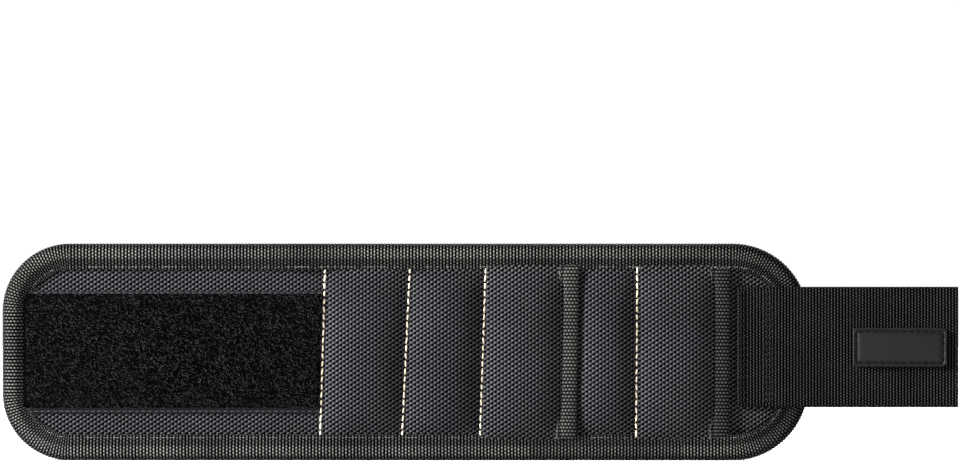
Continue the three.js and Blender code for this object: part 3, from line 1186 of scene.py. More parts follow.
@dataclass
class MeshLining(SubAssembly):
    """Spacer mesh over the inner face: a thick knit with staggered oval holes."""

    pitch: float = 5.93
    row: float = 2.11
    hole_length: float = 3.0
    hole_width: float = 2.1
    hole_depth: float = 1.6
    hollow: float = 0.5
    mouth: float = 1.18
    mouth_sink: float = 0.4
    floor: float = 0.9
    seam_dip: float = 0.9
    seam_half: float = 2.5
    edge: float = 5.5
    edge_level: float = 0.9
    tuck: float = 9.3
    rise: float = 3.8
    first_hole: float = 10.2
    sides: int = 12
    keys_per_mm: int = 100
    fill: float = 0.7

    def level(self, x: float, z: float, box: Box) -> float:
        """Level of the mesh, which dips at a seam and under the binding.

        Args:
            x: Flat x.
            z: Flat z.
            box: The lining's box.

        Returns:
            Its y.
        """
        low = box.outer + self.edge_level
        dip = self.seam_dip * math.exp(-(((x - SEAMS[4].at(z)) / self.seam_half) ** 2))
        return low + (box.inner - dip - low) * smooth((LAYOUT.inset(x, z) - self.tuck) / self.rise)

    def cell(self) -> list[tuple[float, float]]:
        """The six-sided cell round a hole, with a point halfway along each side.

        Returns:
            Points round the hole's middle.
        """
        half = self.pitch / 2
        reach = (half ** 2 + self.row ** 2) / 2 / half
        flat = (half ** 2 - self.row ** 2) / 2 / half
        corners = [
            (reach, 0.0), (flat, self.row), (-flat, self.row),
            (-reach, 0.0), (-flat, -self.row), (flat, -self.row),
        ]
        points = []
        for a, b in zip(corners, corners[1:] + corners[:1]):
            points += [a, ((a[0] + b[0]) / 2, (a[1] + b[1]) / 2)]
        return points

    def hole(self, draft: Draft, rim: Sequence[int], x: float, z: float, level: float) -> None:
        """Draws one hole inside its cell.

        Args:
            draft: Where to draw it.
            rim: Points round the cell.
            x: Flat x of its middle.
            z: Flat z of its middle.
            level: Level of the mesh there.
        """
        rings = [rim]
        mouth = self.hollow * self.mouth_sink
        for share, sink in ((self.mouth, mouth), (1.0, self.hollow), (self.floor, self.hole_depth)):
            ring = []
            for k in range(self.sides):
                angle = math.tau * k / self.sides
                px = x + share * self.hole_length / 2 * math.cos(angle)
                pz = z + share * self.hole_width / 2 * math.sin(angle)
                ring.append(draft.point((px, level - sink, pz, px, pz)))
            rings.append(ring)
        for outer, inner in zip(rings, rings[1:]):
            # The deepest wall and the floor take the near-black finish: painted shade in the hole.
            coat = int(inner is rings[-1])
            for k in range(self.sides):
                after = (k + 1) % self.sides
                draft.face((outer[k], outer[after], inner[after], inner[k]), coat)
        draft.face(rings[-1], 1)

    def build(self) -> list[Piece]:
        """Draws every cell with its hole.

        Returns:
            The pieces.
        """
        nodes = stage_nodes("lining_")
        box = LAYOUT.box(*nodes)
        draft, shared = Draft(), {}

        def corner(x: float, z: float) -> int:
            """A cell's corner, which neighbouring cells share.

            Args:
                x: Flat x.
                z: Flat z.

            Returns:
                Its number.
            """
            key = (round(x * self.keys_per_mm), round(z * self.keys_per_mm))
            if key not in shared:
                shared[key] = draft.point((x, self.level(x, z, box), z, x, z))
            return shared[key]

        cell = self.cell()
        for line in range(int(LAYOUT.width / self.row) + 1):
            for number in range(int(LAYOUT.length / self.pitch) + 1):
                x = number * self.pitch + (line % 2) * self.pitch / 2
                z = line * self.row
                inset = LAYOUT.inset(x, z)
                if inset < self.edge:
                    continue
                rim = [corner(x + dx, z + dz) for dx, dz in cell]
                if inset < self.first_hole:
                    draft.face(rim)
                else:
                    self.hole(draft, rim, x, z, self.level(x, z, box))
        return self.along_band(
            draft, "mesh_lining", [KNIT, PIT_SHADE], Slot.MESH, nodes, Side.INNER, self.fill,
        )


@dataclass(frozen=True)
class Quilting:
    """What padded oxford cloth has everywhere: its points, puckers at the thread and soft lumps."""

    step: float = 1.1
    side_power: float = 2.3
    pucker_pitch: float = 6.2
    lump: float = 0.25
    fill: float = 0.6

    def pucker(self, z: float) -> float:
        """The thread's gathers along a seam, from -1 to 1 at a height."""
        return math.sin(math.tau * z / self.pucker_pitch)


QUILTING = Quilting()


@dataclass
class OuterShell(SubAssembly):
    """Oxford cloth over the outer face, padded up between the stitch lines."""

    edge: float = 6.0
    panel_edge: float = 9.0
    end_power: float = 4.5
    pucker: float = 0.22
    pucker_reach: float = 3.5
    edge_dip: float = 0.6
    edge_reach: float = 2.5
    lump_scale: float = 0.06
    lump_layer: float = 3.0
    panels: tuple[tuple[str, int, int], ...] = (
        ("padded_panel_1", 0, 1), ("padded_panel_2", 1, 2), ("padded_panel_3", 3, 4),
    )

    def crown(self, x: float, z: float, left: Seam, right: Seam) -> float:
        """How far a padded panel stands up.

        Args:
            x: Flat x.
            z: Flat z.
            left: Its left seam.
            right: Its right seam.

        Returns:
            A share of the full height.
        """
        low, high = left.at(z), right.at(z)
        across = (2 * x - low - high) / (high - low)
        half = LAYOUT.width / 2
        along = (z - half) / (half - self.panel_edge)
        if abs(across) >= 1 or abs(along) >= 1:
            return 0.0
        return (1 - abs(across) ** QUILTING.side_power) * (1 - abs(along) ** self.end_power)

    def build(self) -> list[Piece]:
        """Draws the cloth as one quilted surface.

        Returns:
            The pieces.
        """
        base = LAYOUT.box("shell_loop_middle").outer
        full = [(LAYOUT.box(name).outer - base, SEAMS[a], SEAMS[b]) for name, a, b in self.panels]

        def height(x: float, z: float) -> float:
            """The cloth's level, with crowns, valleys, drawn-in edges, puckers and lumps.

            Args:
                x: Flat x.
                z: Flat z.

            Returns:
                Its y.
            """
            y = base
            for rise, left, right in full:
                y += rise * self.crown(x, z, left, right)
            y += sum(seam.valley(x, z) for seam in SEAMS)
            inside = max(LAYOUT.inset(x, z) - self.panel_edge, 0)
            y += self.edge_dip * math.exp(-inside / self.edge_reach)
            near = min(abs(x - seam.at(z)) for seam in SEAMS)
            y += self.pucker * math.exp(-near / self.pucker_reach) * QUILTING.pucker(z)
            return y + QUILTING.lump * lumps(x, z, self.lump_scale, self.lump_layer)

        draft = Draft()
        draft.surface(
            steps(self.edge, LAYOUT.length - self.edge, QUILTING.step),
            steps(self.edge, LAYOUT.width - self.edge, QUILTING.step),
            height, inside=lambda x, z: LAYOUT.inset(x, z) > self.edge,
        )
        return self.along_band(
            draft, "outer_shell", [OXFORD], Slot.CLOTH, stage_nodes("shell_", "padded_panel_"),
            Side.OUTER, QUILTING.fill,
        )


@dataclass
class MouthPocket(SubAssembly):
    """A padded pocket front, sewn along its left seam and bound along its mouth."""

    number: int
    seam: Seam
    mouth: Seam
    bulge: float = 4.0
    least: float = 0.25
    seam_gap: float = 0.2
    lap: float = 2.0
    end_power: float = 5.0
    lip_power: float = 0.8
    lip_flat: float = 0.35
    pucker: float = 0.2
    pucker_reach: float = 4.0
    lump_scale: float = 0.07
    lump_layer: float = 9.0
    rib_pitch: float = 1.44
    rib_height: float = 0.2
    steps_per_rib: int = 4
    tape_thickness: float = 0.7
    tape_shift: float = 0.2
    tape_leg: tuple[tuple[float, float], ...] = (
        (0.0, 0.3), (0.2, 0.55), (0.9, 0.6), (1.5, 0.35),
        (2.2, 0.35), (2.8, 0.85), (3.5, 1.0), (5.5, 1.0),
    )
    tape_back: tuple[tuple[float, float], ...] = ((0.97, 0.6), (0.86, 1.0), (0.4, 1.0), (0.0, 0.9))
    turn_at: float = 0.86
    turn_angles: tuple[float, ...] = (20, 50, 75, 90)
    end_flat: float = 0.25
    end_round: float = 6.0
    thread_inset: float = 0.5
    thread_rise: float = 0.5
    tape_finish: Finish = MOUTH_TAPE
    stitches: StitchRow = StitchRow(length=1.7, gap=0.5, thickness=0.6, sway=0.3)

    def halves(
        self, draft_of: Callable[[float, float], Draft], name: str, finishes: Sequence[Finish],
        slot: Slot, node: str, fill: float | None = None,
    ) -> list[Piece]:
        """Makes a lower and an upper piece.

        Args:
            draft_of: Draws the part between two heights.
            name: Start of the pieces' names.
            finishes: Their finishes.
            slot: Their material slot.
            node: CAD node that they stand for.
            fill: How full they are, if they are padded.

        Returns:
            The pieces.
        """
        middle = LAYOUT.width / 2
        lower = draft_of(POCKET_REACH, middle).piece(f"{name}_lower", finishes)
        upper = draft_of(middle, LAYOUT.width - POCKET_REACH).piece(f"{name}_upper", finishes)
        for piece in (lower, upper):
            blend_pocket(piece, piece is lower)
        return [self.declare(lower, slot, [node], fill), self.declare(upper, slot, fill=fill)]

    def build(self) -> list[Piece]:
        """Builds the front and the mouth's binding.

        Returns:
            The pieces.
        """
        name = f"pocket_{self.number}"
        tape = [self.tape_finish, BLACK_THREAD]
        return [
            *self.halves(
                self.front, f"{name}_padding", [OXFORD], Slot.CLOTH, f"{name}_front", QUILTING.fill,
            ),
            *self.halves(self.tape, f"{name}_mouth_tape", tape, Slot.TAPE, f"{name}_binding"),
        ]

    def front(self, low: float, high: float) -> Draft:
        """Draws the padded front between two heights.

        Args:
            low: Flat z of its lower end.
            high: Flat z of its upper end.

        Returns:
            A sleeve, whose ends are sewn in or meet the other half.
        """
        box = LAYOUT.box(f"pocket_{self.number}_front")
        tape = LAYOUT.box(f"pocket_{self.number}_binding")
        back = box.inner
        lip = tape.outer + self.tape_thickness
        half = LAYOUT.width / 2
        rows = []
        for z in steps(low, high, QUILTING.step):
            left = self.seam.at(z) + self.seam_gap
            right = self.mouth.at(z) - tape.wide + self.lap
            end = 1 - abs((z - half) / (half - POCKET_REACH)) ** self.end_power
            lifted = (lip - back) * (self.lip_flat + (1 - self.lip_flat) * end)
            row = []
            for share in steps(0.0, 1.0, QUILTING.step / box.wide):
                x = left + (right - left) * share
                y = back - self.least + lifted * share ** self.lip_power
                y -= self.bulge * (1 - abs(2 * share - 1) ** QUILTING.side_power) * end
                y += self.pucker * math.exp(-(x - left) / self.pucker_reach) * QUILTING.pucker(z)
                y += QUILTING.lump * lumps(x, z, self.lump_scale, self.lump_layer)
                row.append((x, min(y, back - self.least) + self.seam.valley(x, z), z, x, z))
            under = [(x, back + self.seam.valley(x, z), z, x, z) for x, _, z, _, _ in reversed(row)]
            rows.append([*row, *under])
        draft = Draft()
        draft.grid(rows, ring=True)
        return draft

    def section(self, wide: float, rise: float, swell: float) -> list[tuple[float, float]]:
        """The folded tape's section at one place along the mouth.

        Args:
            wide: Its width.
            rise: Half its thickness.
            swell: How far a rib stands up there.

        Returns:
            Distance from its sewn edge and y of each point.
        """
        outer = [(d, -(rise + swell) * share) for d, share in self.tape_leg]
        for angle in map(math.radians, self.turn_angles):
            d = wide * (self.turn_at + (1 - self.turn_at) * math.sin(angle))
            outer.append((d, -rise * math.cos(angle) - swell))
        return [*outer, *((wide * share, rise * part) for share, part in self.tape_back)]

    def tape(self, low: float, high: float) -> Draft:
        """Draws the folded tape along the mouth between two heights, with its stitches.

        Args:
            low: Flat z of its lower end.
            high: Flat z of its upper end.

        Returns:
            A sleeve with a row of stitches.
        """
        box = LAYOUT.box(f"pocket_{self.number}_binding")
        middle, rise = (box.outer + box.inner) / 2, (box.inner - box.outer) / 2
        half = LAYOUT.width / 2
        draft, rows = Draft(), []
        for z in steps(low, high, self.rib_pitch / self.steps_per_rib):
            swell = self.rib_height * abs(math.sin(math.pi * z / self.rib_pitch))
            left = self.mouth.at(z) - box.wide - self.tape_shift
            sewn = rounded((half - POCKET_REACH - abs(z - half)) / self.end_round)
            end = self.end_flat + (1 - self.end_flat) * sewn
            section = self.section(box.wide, rise, swell)
            row, across = [], 0.0
            for last, spot in zip([section[0], *section], section):
                across += math.dist(last, spot)
                row.append((left + spot[0], middle + spot[1] * end + rise * (1 - end), z, z, across))
            rows.append(row)
        draft.grid(rows, ring=True)
        level = middle - rise * self.thread_rise
        first, last = ((self.mouth.at(z) - box.wide + self.thread_inset, level, z) for z in (low, high))
        self.stitches.straight(draft, first, last, Side.OUTER, 1, seed=self.number)
        return draft


@dataclass
class LoopPatch(SubAssembly):
    """Soft loop tape on the outer face: a woven base with a fuzzy pile."""

    selvedge: float = 1.0
    lower_selvedge: float = 2.3
    end_selvedge: float = 0.5
    base: float = 0.6
    base_edge: float = 0.4
    base_inset: float = 7.0
    pile: float = 1.2
    pile_sunk: float = 0.8
    pile_step: float = 0.8
    pile_edge: float = 1.1
    pile_inset: float = 8.4
    tufts: tuple[Point, ...] = ((0.16, 0.9, 5.0), (0.12, 0.12, 7.0))
    tuck: float = 3.0
    stretch: float = 14.0
    seam_gap: float = 0.5
    fibres: int = 9000
    fibre_inset: float = 9.9
    fibre_length: float = 1.25
    fibre_range: tuple[float, float] = (0.5, 1.2)
    fibre_width: float = 0.13
    fibre_taper: float = 0.6
    fibre_lean: tuple[float, float] = (-38, 32)
    fibre_bend: float = 0.25
    curl: float = 0.3
    thread_inset: float = 0.8
    thread_start: float = 3.0
    stitches: StitchRow = StitchRow(length=1.7, gap=0.9, thickness=0.35)

    def tuft(self, x: float, z: float) -> float:
        """Height of the pile's lumps at a place, from layers of a height, a scale and a number."""
        return sum(height * lumps(x, z, scale, layer) for height, scale, layer in self.tufts)

    def stretched(self, x: float, z: float, right: float) -> float:
        """The flat x of a place, with the patch's right end drawn to the stitch line that holds it."""
        share = smooth((x - right + self.stretch) / self.stretch)
        return x + (SEAMS[0].at(z) - self.seam_gap - right) * share

    def fuzz(self, draft: Draft, box: Box, level: float) -> None:
        """Draws loose fibres that curl over the pile.

        Args:
            draft: Where to draw them.
            box: Ends and sides of the pile.
            level: Y of its surface.
        """
        chance = random.Random(11)
        half = self.fibre_width / 2
        radii = [half * self.fibre_taper, half, half * self.fibre_taper]
        for _ in range(self.fibres):
            x = chance.uniform(box.left, box.right)
            z = chance.uniform(box.bottom, box.top)
            if LAYOUT.inset(x, z) < self.fibre_inset:
                continue
            angle = math.radians(chance.gauss(*self.fibre_lean))
            length = self.fibre_length * chance.uniform(*self.fibre_range)
            turn = chance.uniform(-self.fibre_bend, self.fibre_bend)
            curl = []
            for share in (0.0, 0.5, 1.0):
                px = x + length * (share - 0.5) * math.cos(angle + turn * share)
                pz = z + length * (share - 0.5) * math.sin(angle + turn * share)
                rise = self.tuft(px, pz) + self.curl * math.sin(math.pi * share)
                curl.append(Vector((px, level - rise, pz)))
            draft.tube(curl, radii, 2, sides=3)

    def build(self) -> list[Piece]:
        """Draws the base, the pile, its loose fibres and the rows that sew it down.

        Returns:
            The pieces.
        """
        nodes = stage_nodes("loop_patch_")
        box = LAYOUT.box(*nodes)
        start = box.left + self.thread_start
        box = replace(box, left=box.left - self.tuck)
        soft = replace(
            box, right=box.right - self.end_selvedge, bottom=box.bottom + self.lower_selvedge,
            top=box.top - self.selvedge,
        )
        level = LAYOUT.box("shell_loop_middle").outer
        floor = level - self.base * self.pile_sunk
        draft = Draft()
        draft.patch(box, Side.OUTER, level, self.base, self.base_edge, 0, self.base_inset)
        draft.patch(
            soft, Side.OUTER, floor, self.pile, self.pile_edge, 1, self.pile_inset,
            self.pile_step, self.tuft,
        )
        self.fuzz(draft, soft, floor - self.pile)
        for z in (box.bottom + self.thread_inset, box.top - self.thread_inset):
            first, last = ((x, level - self.base, z) for x in (start, box.right))
            self.stitches.straight(draft, first, last, Side.OUTER, 3, seed=5)
        draft.points = [
            (self.stretched(x, z, box.right), y + SEAMS[0].valley(x, z), z) for x, y, z in draft.points
        ]
        return self.along_band(
            draft, "loop_patch", [SELVEDGE, PILE, FIBRE_SHEEN, BLACK_THREAD], Slot.LOOP, nodes, Side.OUTER,
        )


@dataclass
class WristElastic(SubAssembly):
    """Wide ribbed elastic across the inner face, sewn in at the loop end and folded at its other end."""

    ribs: int = 23
    rib_height: float = 0.38
    rib_power: float = 0.6
    points_per_rib: int = 6
    step: float = 1.2
    under: float = 0.4
    tuck: float = 2.2
    sink: float = 1.7
    sink_start: float = 3.5
    sink_run: float = 5.0
    hem: float = 7.5
    hem_rise: float = 0.7
    hem_round: float = 1.2
    fade: float = 6.0
    side_round: float = 0.7
    end_round: float = 3.0
    ripple: float = 0.12
    ripple_along: float = 0.05
    ripple_across: float = 0.02
    thread_rise: float = 0.6
    thread_insets: tuple[float, float] = (1.6, 7.1)
    stitches: StitchRow = StitchRow(length=1.6, gap=0.8, thickness=0.45)

    def build(self) -> list[Piece]:
        """Draws the ribbed strip, its sewn hem with painted shade, and its stitches.

        Returns:
            The pieces.
        """
        nodes = stage_nodes("elastic_")
        box = LAYOUT.box(*nodes)
        pitch = box.tall / self.ribs
        zs = steps(box.bottom, box.top, pitch / self.points_per_rib)
        rows = []
        for x in steps(box.left - self.tuck, box.right, self.step):
            hem = rounded((x - box.right + self.hem) / self.hem_round) * self.hem_rise
            height = self.rib_height * smooth((box.right - self.hem - x) / self.fade)
            dip = self.sink * smooth((box.left + self.sink_start - x) / self.sink_run)
            end = rounded((box.right - x) / self.end_round)
            low = box.outer - self.under - dip
            row = []
            for z in zs:
                edge = rounded(box.from_side(z) / self.side_round)
                ridge = abs(math.sin(math.pi * (z - box.bottom) / pitch)) ** self.rib_power
                flow = Vector((x * self.ripple_along, z * self.ripple_across, 1.0))
                swell = height * (ridge - 1) + self.ripple * noise.noise(flow) + hem
                top = box.inner - dip + swell * edge
                row.append((x, low + (top - low) * edge * end, z, z - box.bottom, x))
            rows.append(row)
        draft = Draft()
        # From the hem on, the rows take the dark finish: painted shade where the end turns down.
        hem_shade_start = next(k for k, row in enumerate(rows) if row[0][0] > box.right - self.hem)
        draft.grid(rows[: hem_shade_start + 1])
        draft.grid(rows[hem_shade_start:], 2)
        level = box.inner + self.hem_rise * self.thread_rise
        for inset in self.thread_insets:
            first, last = ((box.right - inset, level, z) for z in (box.bottom, box.top))
            self.stitches.straight(draft, first, last, Side.INNER, 1, seed=13)
        finishes = [ELASTIC, LABEL_THREAD, DARK_SELVEDGE_AND_HEM_SHADE]
        return self.along_band(draft, "wrist_elastic", finishes, Slot.ELASTIC, nodes, Side.INNER)


@dataclass
class HookPatches(SubAssembly):
    """Hook tape on the band's inner face and on the tail: a woven base with rows of stiff hooks."""

    pitch: float = 1.1
    height: float = 0.95
    width: float = 0.36
    jitter: float = 0.15
    margin: float = 2.6
    bed_margin: float = 1.6
    bed_rise: float = 0.25
    sunk: float = 0.1
    base_edge: float = 0.5
    bed_edge: float = 0.3
    base_reach: float = 4.0
    bed_reach: float = 1.0
    body_inset: float = 9.9
    body_sunk: float = 0.5
    tail_sunk: float = 0.3
    bow: tuple[tuple[float, float], ...] = ((0.0, 0.0), (0.05, 0.7), (0.25, 1.05), (0.65, 0.9))
    taper: tuple[float, ...] = (1.1, 1.0, 0.9, 0.6)
    thread_inset: float = 1.1
    thread_end: float = 1.0
    stitches: StitchRow = StitchRow(length=1.7, gap=0.8, thickness=0.4)

    def draw(self, box: Box, level: float, inset: float, rows: Rows) -> Draft:
        """Draws one patch, facing inwards.

        Args:
            box: Its ends and sides.
            level: Y of what it is sewn to.
            inset: Distance that its hooks keep inside the band's outline, or 0.
            rows: The way its rows run.

        Returns:
            The draft, with coats for base, hooks, thread and the bed under the hooks.
        """
        draft = Draft()
        floor = box.inner - self.height
        gap = self.bed_margin
        bed = replace(
            box, left=box.left + gap, right=box.right - gap, bottom=box.bottom + gap, top=box.top - gap,
        )
        base_inset, bed_inset = (inset and inset - reach for reach in (self.base_reach, self.bed_reach))
        draft.patch(box, Side.INNER, level, floor - level, self.base_edge, 0, base_inset)
        draft.patch(bed, Side.INNER, floor - self.sunk, self.bed_rise, self.bed_edge, 3, bed_inset)
        self.hooks(draft, box, floor, inset, rows)
        end, inset = self.thread_end, self.thread_inset
        for z in (box.bottom + inset, box.top - inset):
            first, last = ((x, floor, z) for x in (box.left + end, box.right - end))
            self.stitches.straight(draft, first, last, Side.INNER, 2, seed=19)
        first, last = ((box.left + inset, floor, z) for z in (box.bottom + end, box.top - end))
        self.stitches.straight(draft, first, last, Side.INNER, 2, seed=23)
        return draft

    def hooks(self, draft: Draft, box: Box, floor: float, inset: float, rows: Rows) -> None:
        """Draws a patch's hooks, which lean to either side in turn.

        Args:
            draft: Where to draw them.
            box: The patch's ends and sides.
            floor: Y of the patch's base.
            inset: Distance that they keep inside the band's outline, or 0.
            rows: The way their rows run.
        """
        chance = random.Random(17)
        radii = [self.width / 2 * share for share in self.taper]
        way = Vector((1, 0, 0)) if rows is Rows.ALONG else Vector((0, 0, 1))
        xs = steps(box.left + self.margin, box.right - self.margin, self.pitch)
        zs = steps(box.bottom + self.margin, box.top - self.margin, self.pitch)
        for row, z in enumerate(zs):
            for column, x in enumerate(xs):
                if inset and LAYOUT.inset(x, z) < inset:
                    continue
                lean = way if (row if rows is Rows.ALONG else column) % 2 else -way
                dx = chance.uniform(-self.jitter, self.jitter)
                dz = chance.uniform(-self.jitter, self.jitter)
                foot = Vector((x + dx, floor - self.sunk, z + dz))
                path = [foot + lean * out + Vector((0, self.height * up, 0)) for out, up in self.bow]
                draft.tube(path, radii, 1, sides=4)

    def build(self) -> list[Piece]:
        """Builds both patches.

        Returns:
            The pieces.
        """
        nodes = stage_nodes("hook_")
        finishes = [DARK_SELVEDGE_AND_HEM_SHADE, HOOKS, LABEL_THREAD, PILE]
        lining = LAYOUT.box("lining_strap_end").inner - self.body_sunk
        body = self.draw(LAYOUT.box(*nodes), lining, self.body_inset, Rows.UP)
        made = self.along_band(body, "body_hook_patch", finishes, Slot.HOOK, nodes, Side.INNER)
        strap = LAYOUT.box("strap_tail").inner - self.tail_sunk
        free = self.draw(LAYOUT.box("tail_hook"), strap, 0.0, Rows.ALONG)
        tail = free.piece("tail_hook_patch", finishes, Side.INNER)
        return [*made, self.fixed(tail, "tail", Slot.HOOK, "tail_hook")]


@dataclass
class StrapWebbing(SubAssembly):
    """Heavy webbing sewn on the outer face, stepping over the binding and running on as the tail."""

    rib_pitch: float = 1.29
    rib_height: float = 0.3
    rib_power: float = 0.7
    steps_per_rib: int = 4
    step: float = 2.0
    ramp_reach: float = 19.0
    ramp_run: float = 8.0
    end_round: float = 0.8
    end_flat: float = 0.35
    side_round: float = 1.2
    side_flat: float = 0.45
    serration: float = 0.22
    back_cloth: float = 100.0
    fold_start: float = 331.0
    fold_end: float = 343.0
    thread_places: tuple[float, ...] = (1.6, 3.0, 11.4, 12.7, 14.0)
    thread_end: float = 1.5
    stitches: StitchRow = StitchRow(length=2.0, gap=0.4, thickness=0.85)

    def build(self) -> list[Piece]:
        """Draws the webbing with its ribs and sewn end.

        Returns:
            The pieces.
        """
        base, tail = LAYOUT.box("strap_base"), LAYOUT.box("strap_tail")
        thick = tail.inner - tail.outer
        low = base.inner - thick
        ramp = LAYOUT.length - self.ramp_reach
        zs = steps(base.bottom, base.top, self.step)

        def level(x: float) -> float:
            """Y of the webbing's outer face, which steps up over the binding."""
            return low + (tail.outer - low) * smooth((x - ramp) / self.ramp_run)

        draft, rings = Draft(), []
        for x in steps(base.left, tail.right, self.rib_pitch / self.steps_per_rib):
            along = x - base.left
            ridge = abs(math.sin(math.pi * along / self.rib_pitch)) ** self.rib_power
            end = rounded(min(along, tail.right - x) / self.end_round)
            half = thick / 2 + self.rib_height * (ridge - 1)
            half *= self.end_flat + (1 - self.end_flat) * end
            middle = level(x) + thick / 2
            tooth = self.serration * (ridge - 0.5)
            front, back = [], []
            for z, moved in zip(zs, [zs[0] - tooth, *zs[1:-1], zs[-1] + tooth]):
                edge = rounded(base.from_side(z) / self.side_round)
                edge = self.side_flat + (1 - self.side_flat) * edge
                front.append((x, middle - half * edge, moved, along, z))
                back.append((x, middle + half * edge, moved, along, z + self.back_cloth))
            rings.append([*front, *reversed(back)])
        draft.solid(rings)
        for place in (base.left + offset for offset in self.thread_places):
            ends = (base.bottom + self.thread_end, base.top - self.thread_end)
            first, last = ((place, level(place), z) for z in ends)
            self.stitches.straight(draft, first, last, Side.OUTER, 1, seed=29)
        finishes = [WEBBING, LABEL_THREAD]
        sewn = draft.between(-math.inf, self.fold_start).piece("strap_sewn_end", finishes)
        span = LAYOUT.spans()[-1]
        bend(sewn, span.first, span.second, span.start, span.end)
        free = draft.between(self.fold_start, math.inf).piece("strap_tail_webbing", finishes)
        bend(free, "strap_end", "tail", self.fold_start, self.fold_end)
        return [
            self.declare(sewn, Slot.WEBBING, ["strap_base"]),
            self.declare(free, Slot.WEBBING, ["strap_tail"]),
        ]


def rounded_ring(box: Box, corner: float, inset: float, y: float) -> list[Knot]:
    """A rounded rectangle that lies flat in a box.

    Args:
        box: The box.
        corner: Radius of the corners where the inset is 0.
        inset: Distance inside the box's sides.
        y: Its level.

    Returns:
        Points round it.
    """
    least_radius, arc_steps = 0.25, 5
    radius = max(corner - inset, least_radius)
    points = []
    for quarter, (side, up) in enumerate(((1, 1), (-1, 1), (-1, -1), (1, -1))):
        x = (box.right if side > 0 else box.left) - side * (inset + radius)
        z = (box.top if up > 0 else box.bottom) - up * (inset + radius)
        for step in range(arc_steps + 1):
            angle = QUARTER * (quarter + step / arc_steps)
            px, pz = x + radius * math.cos(angle), z + radius * math.sin(angle)
            points.append((px, y, pz, px, pz))
    return points


@dataclass
class RubberLabel(SubAssembly):
    """A moulded rubber patch with a raised rim, a stitched channel and a bare face."""

    corner: float = 2.0
    rim: float = 0.9
    channel: float = 2.1
    channel_depth: float = 0.5
    wall: float = 0.12
    face_drop: float = 0.12
    face_edge: float = 2.0
    bevel: float = 0.2
    soft: float = 0.3
    sunk: float = 0.2
    thread_lift: float = 0.05
    stitches: StitchRow = StitchRow(length=2.0, gap=1.0, thickness=0.45, lift=0.1)

    def build(self) -> list[Piece]:
        """Draws the label with its stitches.

        Returns:
            The piece.
        """
        box = LAYOUT.box("label")
        front, face = box.outer, box.outer + self.face_drop
        floor = front + self.channel_depth
        levels = [
            (0.0, box.inner + self.sunk), (0.0, front + self.soft),
            (self.soft / 3, front + self.soft / 3), (self.soft, front),
            (self.rim - self.bevel, front), (self.rim, front + self.wall), (self.rim + self.wall, floor),
            (self.channel - self.wall, floor), (self.channel, front + self.soft),
            (self.channel + self.bevel, face), (self.channel + self.face_edge, face),
        ]
        draft = Draft()
        draft.solid([rounded_ring(box, self.corner, inset, y) for inset, y in levels])
        middle = (self.rim + self.channel) / 2
        left, right = box.left + middle, box.right - middle
        bottom, top = box.bottom + middle, box.top - middle
        for start, end in (
            ((left, bottom), (right, bottom)), ((left, top), (right, top)),
            ((left, bottom), (left, top)), ((right, bottom), (right, top)),
        ):
            first, last = ((x, floor - self.thread_lift, z) for x, z in (start, end))
            self.stitches.straight(draft, first, last, Side.OUTER, 1, seed=31)
        label = draft.piece("rubber_label", [RUBBER, LABEL_THREAD])
        return [self.fixed(label, "tail", Slot.RUBBER, "label")]


@dataclass
class GoldStitching(SubAssembly):
    """The four gold stitch lines that quilt the outer face."""

    row: StitchRow = StitchRow(length=2.6, gap=0.65, thickness=0.78, sway=0.22, lift=0.3)
    rise: float = 0.35
    sink: float = 0.4
    pocket_lift: float = 0.5
    end: float = 9.4

    def build(self) -> list[Piece]:
        """Draws the stitch lines, of which the last lies on a pocket's front.

        Returns:
            The pieces.
        """
        level = LAYOUT.box("shell_loop_middle").outer - self.rise
        draft = Draft()
        for number, seam in enumerate((SEAMS[0], SEAMS[1], SEAMS[2], SEAMS[4])):
            y = level + self.sink * seam.dip - self.pocket_lift * (seam is SEAMS[4])
            first, last = ((seam.at(z), y, z) for z in (self.end, LAYOUT.width - self.end))
            self.row.straight(draft, first, last, Side.OUTER, 0, seed=37 + number)
        return self.along_band(draft, "gold_stitches", [GOLD_THREAD], Slot.TAPE, [])


@dataclass
class Magnets(SubAssembly):
    """The plated block magnets inside the padded channels."""

    corner: float = 1.5
    chamfer: float = 0.4

    def build(self) -> list[Piece]:
        """Builds the magnets, fixing each to its body except those in a pocket's front.

        Returns:
            The pieces.
        """
        made = []
        for body, nodes in frame["record"]["behaviour"]["bodies"].items():
            for node in sorted(n for n in nodes if n.startswith("magnet_")):
                box = LAYOUT.box(node)
                levels = [
                    (self.chamfer, box.outer), (0.0, box.outer + self.chamfer),
                    (0.0, box.inner - self.chamfer), (self.chamfer, box.inner),
                ]
                draft = Draft()
                draft.solid([rounded_ring(box, self.corner, inset, y) for inset, y in levels])
                piece = draft.piece(f"{node}_block", [NICKEL])
                if body.startswith("pocket_"):
                    blend_pocket(piece, (box.bottom + box.top) / 2 < LAYOUT.width / 2)
                    made.append(self.declare(piece, Slot.MAGNET, [node]))
                else:
                    made.append(self.fixed(piece, body, Slot.MAGNET, node))
        return made


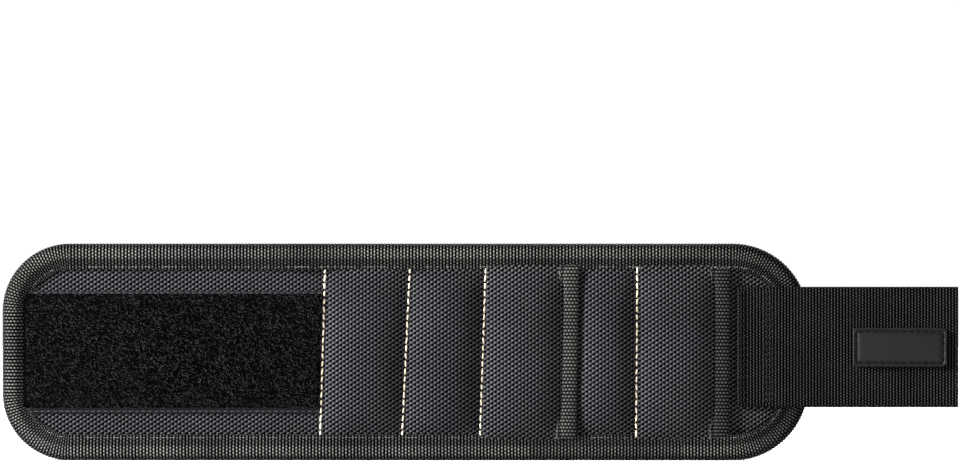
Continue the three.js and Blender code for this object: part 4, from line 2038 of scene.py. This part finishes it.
@dataclass
class Studio:
    """Pale floor, soft lights and the photo's camera."""

    photo_width: float = 960.0
    photo_height: float = 465.0
    pixels_per_mm: float = 2.4
    left_pixel: float = 3.0
    bottom_pixel: float = 460.0
    distance: float = 1.5
    sensor: float = 36.0
    floor_size: float = 3.0
    floor_cells: int = 8
    horizon: float = 1.05
    horizon_top: float = 0.1
    zenith: float = 0.14
    zenith_start: float = 0.4

    def build(self) -> None:
        """Builds the whole setting."""
        self.camera()
        self.floor()
        self.light("key", (-1.5, -0.6, 0.75), 0.5, 190.0)
        self.light("fill", (1.2, -1.3, 0.3), 1.0, 3.0)
        self.light("back_key", (1.2, 1.0, 0.95), 0.6, 80.0)
        self.light("back_fill", (-0.9, 1.4, 0.4), 1.0, 10.0)
        self.sky()
        bpy.context.scene.view_settings.view_transform = "Standard"

    def sky(self) -> None:
        """Makes a sky that is white round the horizon and dimmer overhead."""
        world = bpy.data.worlds.new("studio_sky")
        world.use_nodes = True
        graph = Graph(world.node_tree)
        sky = world.node_tree.nodes["Background"]
        sky.inputs["Color"].default_value = (1.0, 1.0, 1.0, 1.0)
        way = graph.node("ShaderNodeTexCoord").outputs["Generated"]
        up = graph.node("ShaderNodeSeparateXYZ", {"Vector": way}).outputs["Z"]
        strength = graph.spread(up, self.horizon_top, self.zenith_start, self.horizon, self.zenith)
        graph.feed(sky.inputs["Strength"], strength)
        bpy.context.scene.world = world

    def camera(self) -> None:
        """Sets the camera square to the outer face, framed as in the photo."""
        x = (self.photo_width / 2 - self.left_pixel) / self.pixels_per_mm
        z = (self.bottom_pixel - self.photo_height / 2) / self.pixels_per_mm
        eye = Vector(LAYOUT.place((x, 0, z)))
        seen = self.photo_width / self.pixels_per_mm * MM
        data = bpy.data.cameras.new("photo_camera")
        data.sensor_width = self.sensor
        data.lens = self.sensor * self.distance / seen
        camera = bpy.data.objects.new("photo_camera", data)
        camera.location = eye - Vector((0, self.distance, 0))
        camera.rotation_euler = (QUARTER, 0, 0)
        bpy.context.collection.objects.link(camera)
        bpy.context.scene.camera = camera

    def floor(self) -> None:
        """Lays the floor under the band's lower edge."""
        half = self.floor_size / 2 / MM
        lines = steps(-half, half, 2 * half / self.floor_cells)
        draft = Draft()
        draft.surface(lines, lines, lambda x, z: 0.0)
        draft.points = [(x + LAYOUT.length / 2, z, 0.0) for x, _, z in draft.points]
        draft.piece("floor", [PALE_FLOOR])

    def light(self, name: str, place: Point, size: float, power: float) -> None:
        """Adds a soft square light aimed at the band.

        Args:
            name: Its name.
            place: Where it stands, in metres of the row frame.
            size: Its side.
            power: Its strength in watts.
        """
        data = bpy.data.lights.new(name, "AREA")
        data.size = size
        data.energy = power
        lamp = bpy.data.objects.new(name, data)
        lamp.location = place
        target = Vector(LAYOUT.place((LAYOUT.length / 2, 0, LAYOUT.width / 2)))
        lamp.rotation_euler = (target - lamp.location).to_track_quat("-Z", "Y").to_euler()
        bpy.context.collection.objects.link(lamp)


def main() -> None:
    """Builds every sub-assembly and the studio."""
    logging.basicConfig(level=logging.INFO, format="%(message)s")
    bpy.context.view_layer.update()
    parts: list[SubAssembly] = [
        EdgeBinding(), MeshLining(), OuterShell(),
        MouthPocket(1, SEAMS[2], SEAMS[3]), MouthPocket(2, SEAMS[4], SEAMS[5], tape_finish=DARK_TAPE),
        LoopPatch(), WristElastic(), HookPatches(), StrapWebbing(), RubberLabel(),
        GoldStitching(), Magnets(),
    ]
    for part in parts:
        for piece in part.build():
            LOG.info("%s: %s, %d faces", type(part).__name__, piece.name, len(piece.data.polygons))
    Studio().build()


if __name__ == "__main__":
    main()
